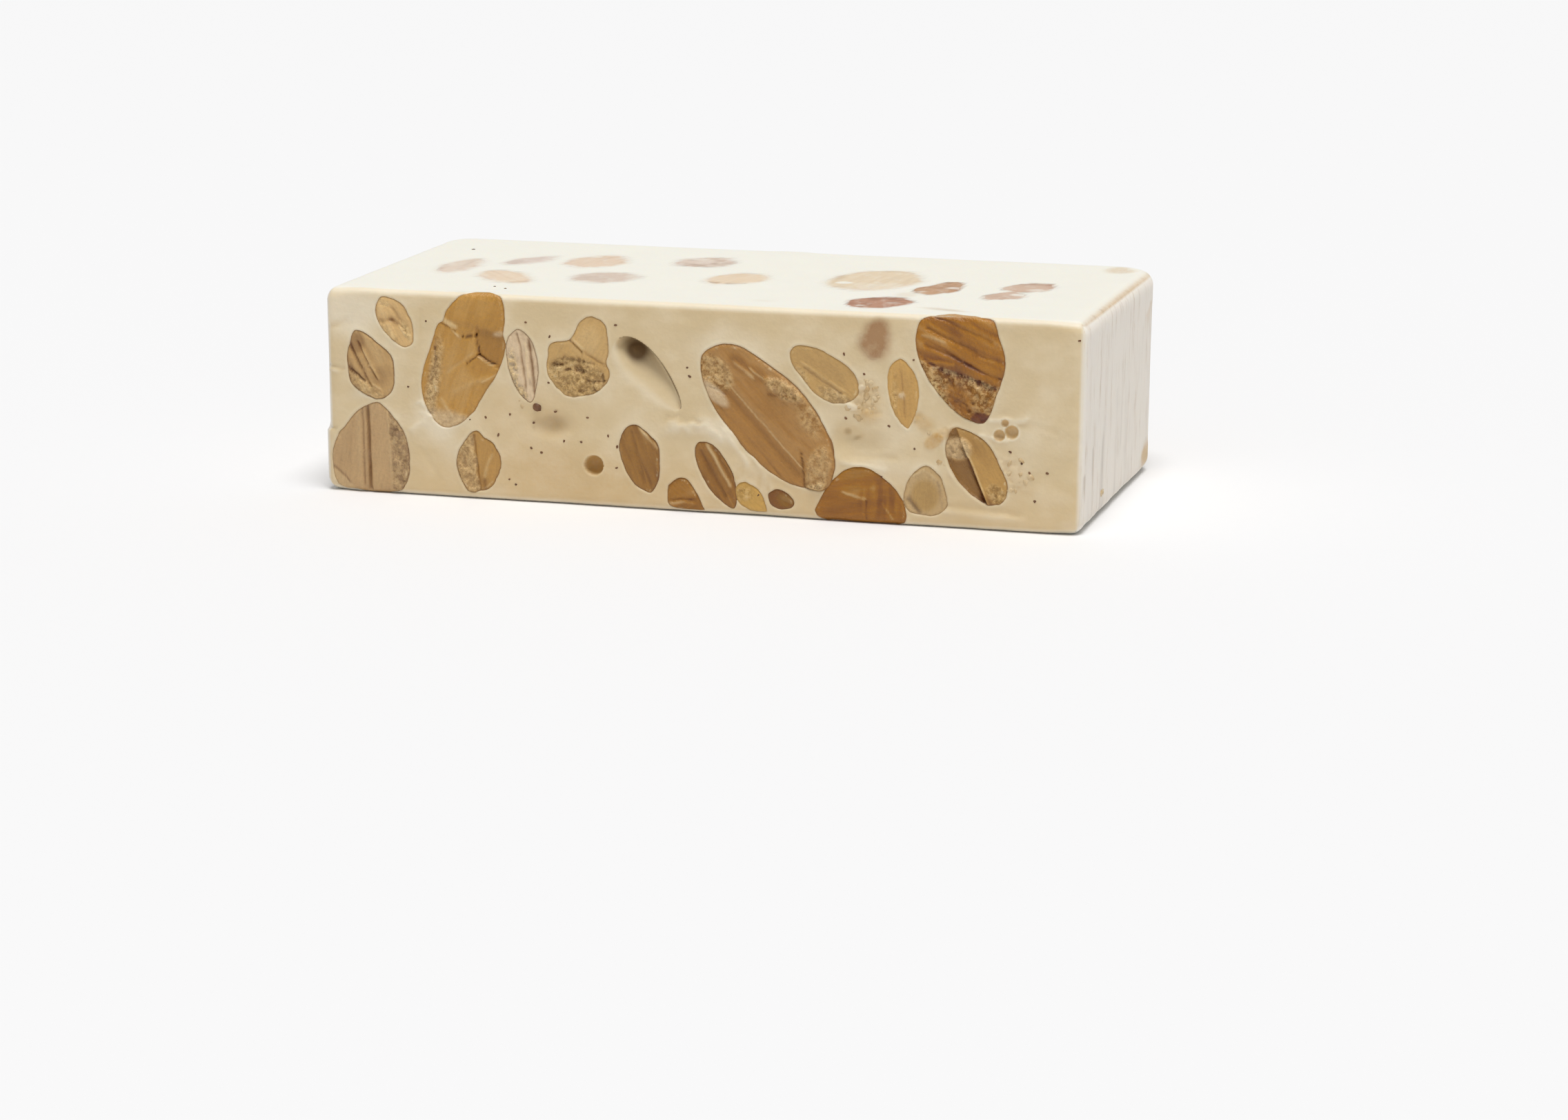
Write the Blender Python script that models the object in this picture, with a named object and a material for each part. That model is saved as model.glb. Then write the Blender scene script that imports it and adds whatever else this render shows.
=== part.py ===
"""A block of soft almond turron: one bar of nougat, cut so that almonds show in every face.

Run it with: blender --background --python part.py
Lengths below are in millimetres, and MM turns them into Blender's metres. X runs along the bar, Y from
its front to its back and Z up from the face that it rests on. The origin is the middle of that face.
"""

import math
import random
from dataclasses import dataclass

import bmesh
import bpy
from mathutils import Matrix, Vector

MM = 0.001

# The bar.
LENGTH = 90.4
DEPTH = 42.0
HEIGHT = 24.0
END_LEAN = 0.35  # the right end stands this much further out at its top than at its foot
LEDGE_HEIGHT = 7.4  # below this the left end steps out, where the knife was set twice
LEDGE_STEP = 0.4
TOP_ROUND = 1.6
FOOT_ROUND = 0.8
CORNERS = ((-1, -1, 1.5), (1, -1, 1.5), (-1, 1, 4.0), (1, 1, 5.0))  # side of X, side of Y, radius
CORNER_SEGMENTS = 5
EDGE_SEGMENTS = 3

# The almonds and the sockets that they sit in.
GAP = 0.3
PLUG_HEIGHT = 4.0  # how far a cut almond's blank runs out past the face, before the knife takes it off
RIM_OUT = 0.04  # the bowl starts this far outside the face, so that no ring of points lies in the cut
OUTLINE_SIDES = {"front": 20, "back": 16}  # the cut faces show the most, so theirs are the finest
PLAIN_SIDES = 14
BOWL_RINGS = 3
WAVES = (3, 5, 7)  # the lobes that make a broken almond's outline uneven

NOUGAT_COLOUR = (0.80, 0.70, 0.53)
ALMOND_COLOURS = {
    "tan": (0.50, 0.33, 0.16),
    "golden": (0.54, 0.34, 0.13),
    "brown": (0.40, 0.22, 0.08),
    "grey": (0.52, 0.42, 0.30),
    "veiled": (0.76, 0.62, 0.48),
}


@dataclass(frozen=True)
class Face:
    """One side of the bar: where its two coordinates start, which way they run, and which way is out."""

    origin: tuple
    across: tuple
    up: tuple
    out: tuple

    def place(self, across, up):
        """The matrix that puts a shape lying in XY, with +Z out of the bar, at a point of this face."""
        axis_a, axis_b, axis_c = Vector(self.across), Vector(self.up), Vector(self.out)
        point = Vector(self.origin) + axis_a * across + axis_b * up
        turn = Matrix((axis_a, axis_b, axis_c)).transposed().to_4x4()
        return Matrix.Translation(point * MM) @ turn


FACES = {
    "front": Face((0, -DEPTH / 2, 0), (1, 0, 0), (0, 0, 1), (0, -1, 0)),
    "back": Face((0, DEPTH / 2, 0), (-1, 0, 0), (0, 0, 1), (0, 1, 0)),
    "top": Face((0, 0, HEIGHT), (1, 0, 0), (0, 1, 0), (0, 0, 1)),
    "foot": Face((0, 0, 0), (-1, 0, 0), (0, 1, 0), (0, 0, -1)),
    "right": Face((LENGTH / 2, 0, 0), (0, 1, 0), (0, 0, 1), (1, 0, 0)),
    "left": Face((-LENGTH / 2, 0, 0), (0, -1, 0), (0, 0, 1), (-1, 0, 0)),
}


@dataclass(frozen=True)
class Almond:
    """A cut almond: where its section shows on a face, its size there, and how far it reaches in.

    turn is the angle of its long axis from the face's first axis, in degrees. taper draws in the end that
    the axis points to, sharp draws in both ends, and broken makes the outline uneven. Each seam is
    (offset across the axis, turn from the axis, length, depth) of a groove in the cut face.
    """

    name: str
    face: str
    across: float
    up: float
    length: float
    width: float
    turn: float
    depth: float = 3.2
    taper: float = 0.12
    sharp: float = 0.15
    broken: float = 0.02
    colour: str = "tan"
    seams: tuple = ()


FRONT = (
    Almond("almond_front_01", "front", -36.3, 20.3, 6.9, 4.0, -57, depth=2.4),
    Almond("almond_front_02", "front", -39.6, 15.1, 8.8, 5.2, -65, depth=2.4, colour="grey",
           seams=((0.6, 6, 6.5, 0.5), (-0.9, -4, 5.0, 0.4))),
    Almond("almond_front_03", "front", -39.7, 4.4, 12.8, 9.9, 80, depth=4.0, taper=0.22,
           seams=((0.3, 9, 12.0, 0.7), (-2.6, 6, 9.0, 0.5))),
    Almond("almond_front_04", "front", -27.8, 16.3, 18.4, 9.0, 70, depth=4.6, taper=-0.12, sharp=0.05,
           colour="golden", seams=((0.5, 38, 5.0, 0.5), (-1.6, -50, 5.0, 0.6))),
    Almond("almond_front_05", "front", -20.5, 16.0, 8.8, 3.3, -80, depth=2.0, colour="grey"),
    Almond("almond_front_06", "front", -13.4, 17.2, 10.0, 7.0, 62, depth=3.0, broken=0.06,
           colour="golden", seams=((1.2, 70, 4.0, 0.6), (-0.8, 25, 4.5, 0.5))),
    Almond("almond_front_07", "front", -6.5, 6.0, 8.4, 4.8, -73, depth=2.6, colour="brown",
           seams=((0.2, 3, 7.0, 0.4),)),
    Almond("almond_front_08", "front", -26.5, 4.1, 7.0, 5.4, 85, depth=2.6, broken=0.04,
           seams=((0.4, 5, 6.0, 0.5),)),
    Almond("almond_front_09", "front", -1.6, 1.5, 4.2, 3.4, 8, depth=1.8, sharp=0.3, colour="brown"),
    Almond("almond_front_10", "front", 2.6, 4.7, 9.0, 3.3, -61, depth=2.2, colour="brown",
           seams=((0.3, 2, 7.0, 0.45),)),
    Almond("almond_front_11", "front", 9.1, 11.4, 21.2, 9.8, -46, depth=4.4, taper=0.04, sharp=0.02,
           colour="brown", seams=((-0.6, 2, 17.0, 0.7), (-1.9, -1, 11.0, 0.5), (1.9, 4, 9.0, 0.5))),
    Almond("almond_front_12", "front", 15.8, 16.6, 9.2, 4.6, -34, depth=2.2,
           colour="golden", seams=((0.5, 0, 6.0, 0.4),)),
    Almond("almond_front_13", "front", 24.9, 15.0, 8.2, 3.7, -80, depth=2.4, sharp=0.25,
           colour="golden", seams=((0.1, 0, 6.0, 0.35),)),
    Almond("almond_front_14", "front", 31.8, 18.9, 14.4, 9.2, -66, depth=4.6, taper=0.16,
           colour="brown", seams=((2.4, 44, 8.0, 0.5), (0.5, 42, 8.5, 0.5), (-1.6, 40, 7.5, 0.5))),
    Almond("almond_front_15", "front", 33.4, 7.0, 10.2, 5.6, -56, depth=2.8, broken=0.02,
           colour="golden", seams=((-0.5, 4, 8.4, 0.9),)),
    Almond("almond_front_16", "front", 20.2, 1.3, 9.2, 8.6, 0, depth=3.0, taper=0.0, colour="brown"),
    Almond("almond_front_17", "front", 27.7, 3.7, 5.2, 5.2, 20, depth=2.4, broken=0.02, colour="grey"),
    Almond("almond_front_18", "front", 10.6, 1.6, 3.5, 2.4, -20, depth=1.8, colour="brown"),
    Almond("almond_front_19", "front", 6.8, 1.4, 3.6, 2.2, -48, depth=1.6, sharp=0.3),
    Almond("almond_front_20", "front", 21.6, 21.1, 4.4, 3.9, 90, depth=1.6, colour="veiled"),
)

TOP = (
    Almond("almond_top_01", "top", -35.6, -1.0, 12.5, 5.0, 90, depth=2.6, colour="veiled"),
    Almond("almond_top_02", "top", -29.0, 5.5, 8.0, 3.5, 90, depth=2.2, colour="veiled"),
    Almond("almond_top_03", "top", -20.8, 6.7, 10.5, 7.8, 82, depth=3.0, colour="veiled",
           seams=((0.4, 4, 8.0, 0.4),)),
    Almond("almond_top_04", "top", -27.3, -7.8, 11.5, 6.0, -49, depth=2.6, colour="veiled"),
    Almond("almond_top_05", "top", -15.8, -5.0, 8.8, 8.2, 30, depth=2.6, broken=0.02, colour="veiled"),
    Almond("almond_top_06", "top", -7.8, 9.8, 8.5, 7.5, 60, depth=2.6, broken=0.04, colour="veiled",
           seams=((0.8, 12, 6.0, 0.4), (-0.9, -8, 5.0, 0.4))),
    Almond("almond_top_07", "top", -0.5, -1.5, 9.2, 7.3, 70, depth=2.8, broken=0.03, colour="veiled"),
    Almond("almond_top_08", "top", 15.2, 2.0, 16.0, 9.8, 84, depth=3.4, colour="veiled",
           seams=((0.6, 3, 12.0, 0.4),)),
    Almond("almond_top_09", "top", 20.2, -13.6, 8.0, 6.6, 60, depth=1.8, broken=0.03, colour="brown"),
    Almond("almond_top_10", "top", 25.0, -1.6, 10.0, 4.4, 86, depth=2.2, broken=0.03, colour="tan"),
    Almond("almond_top_11", "top", 35.0, 1.6, 7.4, 5.4, 70, depth=2.2, broken=0.04, colour="tan"),
    Almond("almond_top_12", "top", 31.6, -6.6, 5.0, 3.8, 78, depth=1.8, broken=0.04, colour="tan"),
)

BACK = (
    Almond("almond_back_01", "back", -36.0, 15.5, 12.8, 7.2, 58, depth=3.4, colour="brown",
           seams=((0.4, 2, 10.5, 0.6),)),
    Almond("almond_back_02", "back", -31.0, 5.3, 9.0, 5.4, -28, depth=2.8,
           seams=((0.5, 4, 7.0, 0.5),)),
    Almond("almond_back_03", "back", -21.5, 12.8, 16.5, 8.2, -62, depth=4.0, colour="golden",
           seams=((-0.7, 1, 13.0, 0.7), (1.6, -3, 8.0, 0.5))),
    Almond("almond_back_04", "back", -12.2, 18.8, 7.4, 4.2, 24, depth=2.6, colour="grey"),
    Almond("almond_back_05", "back", -11.5, 4.8, 8.4, 5.8, 75, depth=2.8, broken=0.05,
           colour="brown", seams=((0.3, 10, 5.5, 0.5),)),
    Almond("almond_back_06", "back", -2.0, 12.4, 18.5, 8.8, 54, depth=4.2, colour="brown",
           seams=((0.4, -2, 15.0, 0.7), (-2.0, 3, 9.0, 0.5))),
    Almond("almond_back_07", "back", 9.6, 17.2, 8.8, 4.6, -72, depth=2.6, colour="golden"),
    Almond("almond_back_08", "back", 10.4, 5.6, 8.2, 5.0, 22, depth=2.6,
           seams=((0.2, 3, 6.0, 0.45),)),
    Almond("almond_back_09", "back", 20.6, 13.6, 13.4, 7.6, 80, depth=3.6, colour="golden",
           seams=((-0.5, -6, 10.0, 0.6),)),
    Almond("almond_back_10", "back", 21.8, 3.2, 6.6, 3.8, -12, depth=2.2, broken=0.04, colour="grey"),
    Almond("almond_back_11", "back", 32.5, 8.6, 12.0, 6.8, -48, depth=3.2, colour="tan",
           seams=((0.6, 2, 9.0, 0.55),)),
    Almond("almond_back_12", "back", 35.6, 18.9, 6.4, 4.0, 12, depth=2.2, colour="brown"),
)

ENDS_AND_FOOT = (
    Almond("almond_right_01", "right", 15.8, 2.4, 7.0, 3.6, 4, depth=2.0, sharp=0.0, colour="veiled"),
    Almond("almond_left_01", "left", 6.0, 14.2, 9.0, 5.2, 62, depth=2.4, colour="veiled"),
    Almond("almond_left_02", "left", -9.5, 8.0, 6.6, 4.4, -35, depth=2.2, colour="veiled"),
    Almond("almond_foot_01", "foot", -28.0, 2.5, 13.0, 7.0, 28, depth=2.6, colour="veiled"),
    Almond("almond_foot_02", "foot", -6.0, -6.0, 10.5, 6.0, -52, depth=2.6, colour="veiled"),
    Almond("almond_foot_03", "foot", 13.0, 5.0, 12.0, 6.6, 74, depth=2.6, colour="veiled"),
    Almond("almond_foot_04", "foot", 32.0, -3.0, 9.0, 5.2, -18, depth=2.4, colour="veiled"),
)

# The mould of an almond that fell out: its floor is deepest at the upper end and comes up to a tip.
FALLEN = Almond("fallen_almond", "front", -5.4, 15.6, 10.8, 4.6, -46, depth=2.4, taper=0.25)
FALLEN_FLOOR_LEAN = 6.0

# Bubbles burst by the knife: (face, across, up, radius).
BUBBLES = (
    ("front", -12.1, 4.8, 1.15),
    ("front", 36.1, 10.8, 0.65),
    ("front", 37.7, 11.3, 0.7),
    ("back", 3.6, 5.0, 1.0),
    ("back", 27.2, 18.6, 0.8),
)
BUBBLE_SUNK = 0.25  # how far inside the face a bubble's middle lies, in radii

# Soft dents in the cut faces: (face, across, up, width, height, depth).
DENTS = (
    ("front", -17.3, 9.2, 4.0, 1.6, 0.5),
    ("front", 19.4, 8.9, 4.4, 2.2, 0.6),
    ("back", 15.0, 10.0, 3.8, 2.0, 0.6),
)


def clear_scene():
    """Takes everything out of the scene."""
    for obj in list(bpy.data.objects):
        bpy.data.objects.remove(obj, do_unlink=True)


def new_collection(name, hidden=False):
    """A collection under the scene's own."""
    collection = bpy.data.collections.new(name)
    collection.hide_render = hidden
    bpy.context.scene.collection.children.link(collection)
    return collection


def make_material(name, colour, roughness):
    """A Principled material of one colour."""
    material = bpy.data.materials.new(name)
    material.use_nodes = True
    shader = material.node_tree.nodes["Principled BSDF"]
    shader.inputs["Base Color"].default_value = (*colour, 1.0)
    shader.inputs["Roughness"].default_value = roughness
    shader.inputs["Metallic"].default_value = 0.0
    return material


def object_from(bm, name, collection, material=None):
    """Turns a bmesh into a named object in a collection, and frees the bmesh."""
    mesh = bpy.data.meshes.new(name)
    bmesh.ops.recalc_face_normals(bm, faces=bm.faces)
    bm.to_mesh(mesh)
    bm.free()
    if material:
        mesh.materials.append(material)
    obj = bpy.data.objects.new(name, mesh)
    collection.objects.link(obj)
    return obj


def make_helper(bm, name, collection):
    """A cutter or a guide: drawn as wire and left out of a render."""
    helper = object_from(bm, name, collection)
    helper.hide_render = True
    helper.display_type = "WIRE"
    return helper


def boolean(obj, operand, operation):
    """Adds a Boolean, with an object or with every object of a collection.

    The EXACT solver loses the almonds that run over the top edge and leaves the nougat open, so the cuts
    are by MANIFOLD, which takes these closed meshes as they are.
    """
    modifier = obj.modifiers.new(operation.title(), "BOOLEAN")
    modifier.operation = operation
    modifier.solver = "MANIFOLD"
    if isinstance(operand, bpy.types.Collection):
        modifier.operand_type = "COLLECTION"
        modifier.collection = operand
    else:
        modifier.object = operand


def corner_edge(bm, side_x, side_y):
    """The one vertical edge of a box that stands on the given side of X and of Y."""
    return [e for e in bm.edges if all(v.co.x * side_x > 0 and v.co.y * side_y > 0 for v in e.verts)]


def bevel(bm, edges, width, segments):
    """Rounds edges over by a width in millimetres."""
    bmesh.ops.bevel(
        bm, geom=edges, offset=width * MM, segments=segments, profile=0.5, affect="EDGES", material=-1
    )


def make_bar(name, collection):
    """The uncut bar: a box with rounded edges, a leaning right end and a ledge on its left end."""
    bm = bmesh.new()
    box = Matrix.Translation((0, 0, HEIGHT / 2 * MM))
    box @= Matrix.Diagonal((LENGTH * MM, DEPTH * MM, HEIGHT * MM, 1))
    bmesh.ops.create_cube(bm, size=1, matrix=box)
    corners = [(corner_edge(bm, side_x, side_y), width) for side_x, side_y, width in CORNERS]
    for edges, width in corners:
        bevel(bm, edges, width, CORNER_SEGMENTS)
    for height, width in ((HEIGHT, TOP_ROUND), (0, FOOT_ROUND)):
        rim = [e for e in bm.edges if all(abs(v.co.z - height * MM) < 1e-7 for v in e.verts)]
        bevel(bm, rim, width, EDGE_SEGMENTS)
    for height in (LEDGE_HEIGHT - LEDGE_STEP, LEDGE_HEIGHT + LEDGE_STEP):
        whole = bm.verts[:] + bm.edges[:] + bm.faces[:]
        bmesh.ops.bisect_plane(bm, geom=whole, plane_co=(0, 0, height * MM), plane_no=(0, 0, 1))
    for vert in bm.verts:
        if vert.co.x > 0:
            vert.co.x -= END_LEAN * MM * (1 - vert.co.z / (HEIGHT * MM)) * vert.co.x / (LENGTH / 2 * MM)
        elif vert.co.z > LEDGE_HEIGHT * MM:
            vert.co.x += LEDGE_STEP * MM
    return make_helper(bm, name, collection)


def almond_outline(almond, angle, phases, grow):
    """A point of the almond's outline, in millimetres along and across its axis."""
    half_length = almond.length / 2 + grow
    half_width = almond.width / 2 + grow
    uneven = sum(math.sin(n * angle + phase) / n for n, phase in zip(WAVES, phases))
    swell = 1 + almond.broken * 3 * uneven
    along = half_length * math.cos(angle) * swell
    narrow = (1 - almond.taper * math.cos(angle)) * abs(math.sin(angle)) ** almond.sharp
    return along, half_width * math.sin(angle) * narrow * swell


def almond_blank(almond, grow=0.0):
    """The whole blank of an almond: a straight plug out through the face and a bowl that reaches in."""
    draw = random.Random(almond.name)
    phases = [draw.uniform(0, 2 * math.pi) for _ in WAVES]
    bm = bmesh.new()
    sides = OUTLINE_SIDES.get(almond.face, PLAIN_SIDES)
    bmesh.ops.create_uvsphere(bm, u_segments=sides, v_segments=2 * BOWL_RINGS, radius=1)
    for vert in bm.verts:
        ring = math.hypot(vert.co.x, vert.co.y)
        inside = vert.co.z < 1e-6
        if inside or ring < 1e-6:
            scale = ring
        else:
            scale = 1 if vert.co.z < 0.6 else ring
        along, across = almond_outline(almond, math.atan2(vert.co.y, vert.co.x), phases, grow)
        height = RIM_OUT + vert.co.z * (almond.depth + grow) if inside else PLUG_HEIGHT
        vert.co = Vector((along * scale, across * scale, height)) * MM
    place = FACES[almond.face].place(almond.across, almond.up)
    bmesh.ops.transform(bm, matrix=place @ Matrix.Rotation(math.radians(almond.turn), 4, "Z"), verts=bm.verts)
    return bm


def make_seams(almond, collection):
    """The V-shaped cutters of an almond's seams, as one helper for each."""
    cutters = []
    for number, (offset, turn, length, depth) in enumerate(almond.seams):
        bm = bmesh.new()
        bmesh.ops.create_cone(
            bm, cap_ends=True, segments=4, radius1=depth * MM, radius2=depth * MM, depth=length * MM
        )
        place = FACES[almond.face].place(almond.across, almond.up)
        place @= Matrix.Rotation(math.radians(almond.turn), 4, "Z")
        place @= Matrix.Translation((0, offset * MM, 0.05 * depth * MM))
        place @= Matrix.Rotation(math.radians(turn), 4, "Z") @ Matrix.Rotation(math.pi / 2, 4, "Y")
        bmesh.ops.transform(bm, matrix=place, verts=bm.verts)
        cutters.append(make_helper(bm, f"{almond.name}_seam_{number + 1}", collection))
    return cutters


def make_almond(almond, bar, parts, cutters, materials):
    """One almond: its blank, cut to the bar's own surface, with its seams."""
    obj = object_from(almond_blank(almond), almond.name, parts, materials[almond.colour])
    boolean(obj, bar, "INTERSECT")
    for cutter in make_seams(almond, cutters):
        boolean(obj, cutter, "DIFFERENCE")


def make_fallen(sockets):
    """The empty mould of an almond, whose floor leans up towards its tip."""
    bm = almond_blank(FALLEN)
    place = FACES[FALLEN.face].place(FALLEN.across, FALLEN.up)
    lean = place @ Matrix.Rotation(math.radians(FALLEN.turn), 4, "Z")
    lean @= Matrix.Rotation(math.radians(-FALLEN_FLOOR_LEAN), 4, "Y")
    lean @= Matrix.Rotation(math.radians(-FALLEN.turn), 4, "Z") @ place.inverted()
    bmesh.ops.transform(bm, matrix=lean, verts=bm.verts)
    make_helper(bm, FALLEN.name, sockets)


def make_bubble(number, face, across, up, radius, sockets):
    """The cutter of one burst bubble."""
    bm = bmesh.new()
    place = FACES[face].place(across, up) @ Matrix.Translation((0, 0, -BUBBLE_SUNK * radius * MM))
    bmesh.ops.create_icosphere(bm, subdivisions=2, radius=radius * MM, matrix=place)
    make_helper(bm, f"bubble_{number}", sockets)


def make_dent(number, face, across, up, width, height, depth, sockets):
    """The cutter of one soft dent: a flat ovoid that dips into the face."""
    bm = bmesh.new()
    place = FACES[face].place(across, up) @ Matrix.Translation((0, 0, depth * MM))
    place @= Matrix.Diagonal((width / 2 * MM, height / 2 * MM, 2 * depth * MM, 1))
    bmesh.ops.create_icosphere(bm, subdivisions=2, radius=1.15, matrix=place)
    make_helper(bm, f"dent_{number}", sockets)


def main():
    """Builds the bar's nougat and its almonds."""
    clear_scene()
    parts = new_collection("turron block")
    cutters = new_collection("cutters", hidden=True)
    sockets = new_collection("sockets", hidden=True)
    materials = {name: make_material(name, colour, 0.5) for name, colour in ALMOND_COLOURS.items()}

    bar = make_bar("bar", cutters)
    nougat = bpy.data.objects.new("nougat", bar.data.copy())
    nougat.data.materials.append(make_material("nougat", NOUGAT_COLOUR, 0.55))
    parts.objects.link(nougat)

    for almond in FRONT + TOP + BACK + ENDS_AND_FOOT:
        make_almond(almond, bar, parts, cutters, materials)
        make_helper(almond_blank(almond, GAP), f"{almond.name}_socket", sockets)
    make_fallen(sockets)
    for number, bubble in enumerate(BUBBLES):
        make_bubble(number + 1, *bubble, sockets)
    for number, dent in enumerate(DENTS):
        make_dent(number + 1, *dent, sockets)
    boolean(nougat, sockets, "DIFFERENCE")


main()
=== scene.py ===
"""A block of soft almond turron: a nougat bar with almonds cut through in its faces.

Everything is laid out in millimetres and turned into Blender's metres by MM. A place on the block is
named by a side and two coordinates on it, as on an unfolded box, so that an almond can run over an edge.
"""

import logging
import math
import random
from dataclasses import dataclass, field, replace
from enum import Enum, IntEnum
from typing import Optional, Union

import bmesh
import bpy
import numpy as np
from mathutils import Matrix, Vector


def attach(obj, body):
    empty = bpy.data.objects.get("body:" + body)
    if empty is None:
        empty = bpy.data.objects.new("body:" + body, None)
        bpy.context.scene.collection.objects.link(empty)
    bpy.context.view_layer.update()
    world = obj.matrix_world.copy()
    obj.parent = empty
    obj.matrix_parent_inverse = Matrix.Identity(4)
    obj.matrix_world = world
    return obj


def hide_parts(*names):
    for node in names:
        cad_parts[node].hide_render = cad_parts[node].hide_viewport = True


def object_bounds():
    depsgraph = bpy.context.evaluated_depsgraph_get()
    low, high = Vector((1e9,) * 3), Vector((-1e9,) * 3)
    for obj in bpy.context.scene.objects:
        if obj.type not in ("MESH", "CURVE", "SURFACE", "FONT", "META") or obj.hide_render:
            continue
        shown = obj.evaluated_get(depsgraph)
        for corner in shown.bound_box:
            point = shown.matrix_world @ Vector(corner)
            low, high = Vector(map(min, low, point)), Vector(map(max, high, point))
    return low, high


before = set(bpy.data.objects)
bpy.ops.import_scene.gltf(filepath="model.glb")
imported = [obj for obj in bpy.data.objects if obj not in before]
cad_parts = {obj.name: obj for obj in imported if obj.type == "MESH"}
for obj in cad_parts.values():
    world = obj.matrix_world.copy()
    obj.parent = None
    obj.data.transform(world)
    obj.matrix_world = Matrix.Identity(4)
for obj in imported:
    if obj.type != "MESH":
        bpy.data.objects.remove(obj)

MM = 0.001
CAD_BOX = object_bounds()
LOG = logging.getLogger("turron")

Colour = tuple[float, float, float]

TINY = 1e-12
NOISE_MIDDLE = 0.5  # the middle of what a Noise node gives
NOISE_GAIN = 2.6
ON_EDGE = 1e-6  # how near an edge of the sharp box counts as on it, in millimetres
HASH_AXES = np.array([73856093, 19349663, 83492791])
HASH_SEED = 2654435761
HASH_MIX = 1274126177
LAYER_SEEDS = 17  # how far apart the seeds of a noise's layers lie


def smooth(low: float, high: float, value: np.ndarray) -> np.ndarray:
    """A smooth step from 0 at low to 1 at high; low may be the larger.

    Args:
        low: The value that gives 0.
        high: The value that gives 1.
        value: The values to step.

    Returns:
        The step at each value.
    """
    share = np.clip((value - low) / (high - low), 0.0, 1.0)
    return share * share * (3.0 - 2.0 * share)


def hump(value: np.ndarray, width: float, middle: float = 0.0) -> np.ndarray:
    """A round hump of 1 where value is middle, which is down to a third at width from it."""
    return np.exp(-(((value - middle) / width) ** 2))


def turned(first: np.ndarray, second: np.ndarray, degrees: float) -> tuple[np.ndarray, np.ndarray]:
    """The two parts of a direction after a turn from the first axis towards the second."""
    cosine, sine = math.cos(math.radians(degrees)), math.sin(math.radians(degrees))
    return first * cosine - second * sine, first * sine + second * cosine


def lattice_noise(points: np.ndarray, grain: float, seed: int) -> np.ndarray:
    """Smooth noise from random values on a lattice.

    Args:
        points: Places, one row each, in millimetres.
        grain: The lattice's spacing in millimetres.
        seed: Picks the random values.

    Returns:
        A value from -1 to 1 at each place.
    """
    places = points / grain
    cell = np.floor(places).astype(np.int64)
    share = places - cell
    share = share * share * (3.0 - 2.0 * share)
    total = np.zeros(len(points))
    for corner in range(8):
        step = np.array([corner & 1, corner >> 1 & 1, corner >> 2 & 1])
        key = (cell + step) @ HASH_AXES + seed * HASH_SEED
        key = (key ^ (key >> 13)) * HASH_MIX
        value = ((key ^ (key >> 16)) & 0xFFFF) / 32767.5 - 1.0
        total += value * np.prod(np.where(step == 1, share, 1.0 - share), axis=1)
    return total


def layered_noise(points: np.ndarray, grain: float, seed: int, layers: int = 3) -> np.ndarray:
    """Lattice noise in layers, each half as coarse and half as strong as the last.

    Args:
        points: Places, one row each, in millimetres.
        grain: The coarsest layer's spacing in millimetres.
        seed: Picks the random values.
        layers: How many layers there are.

    Returns:
        A value of about -1 to 1 at each place.
    """
    total = np.zeros(len(points))
    for layer in range(layers):
        total += lattice_noise(points, grain / 2**layer, seed + LAYER_SEEDS * layer) / 2**layer
    return total / (2.0 - 2.0 ** (1 - layers))


class Seed(IntEnum):
    """What the random values of each pattern are drawn from."""

    WAVES = 1
    GROOVES = 3
    BORDERS = 5
    RIDGES = 7
    LIPS = 9
    GRAINS = 11
    VEILS = 13
    HALOS = 19
    FIBRES = 23
    DRAGGED = 41
    FOLDS = 43
    RIMS = 51
    DARK_RIMS = 61


class Side(Enum):
    """A side of the block."""

    FRONT = "front"
    BACK = "back"
    TOP = "top"
    FOOT = "foot"
    RIGHT = "right"
    LEFT = "left"


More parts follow.
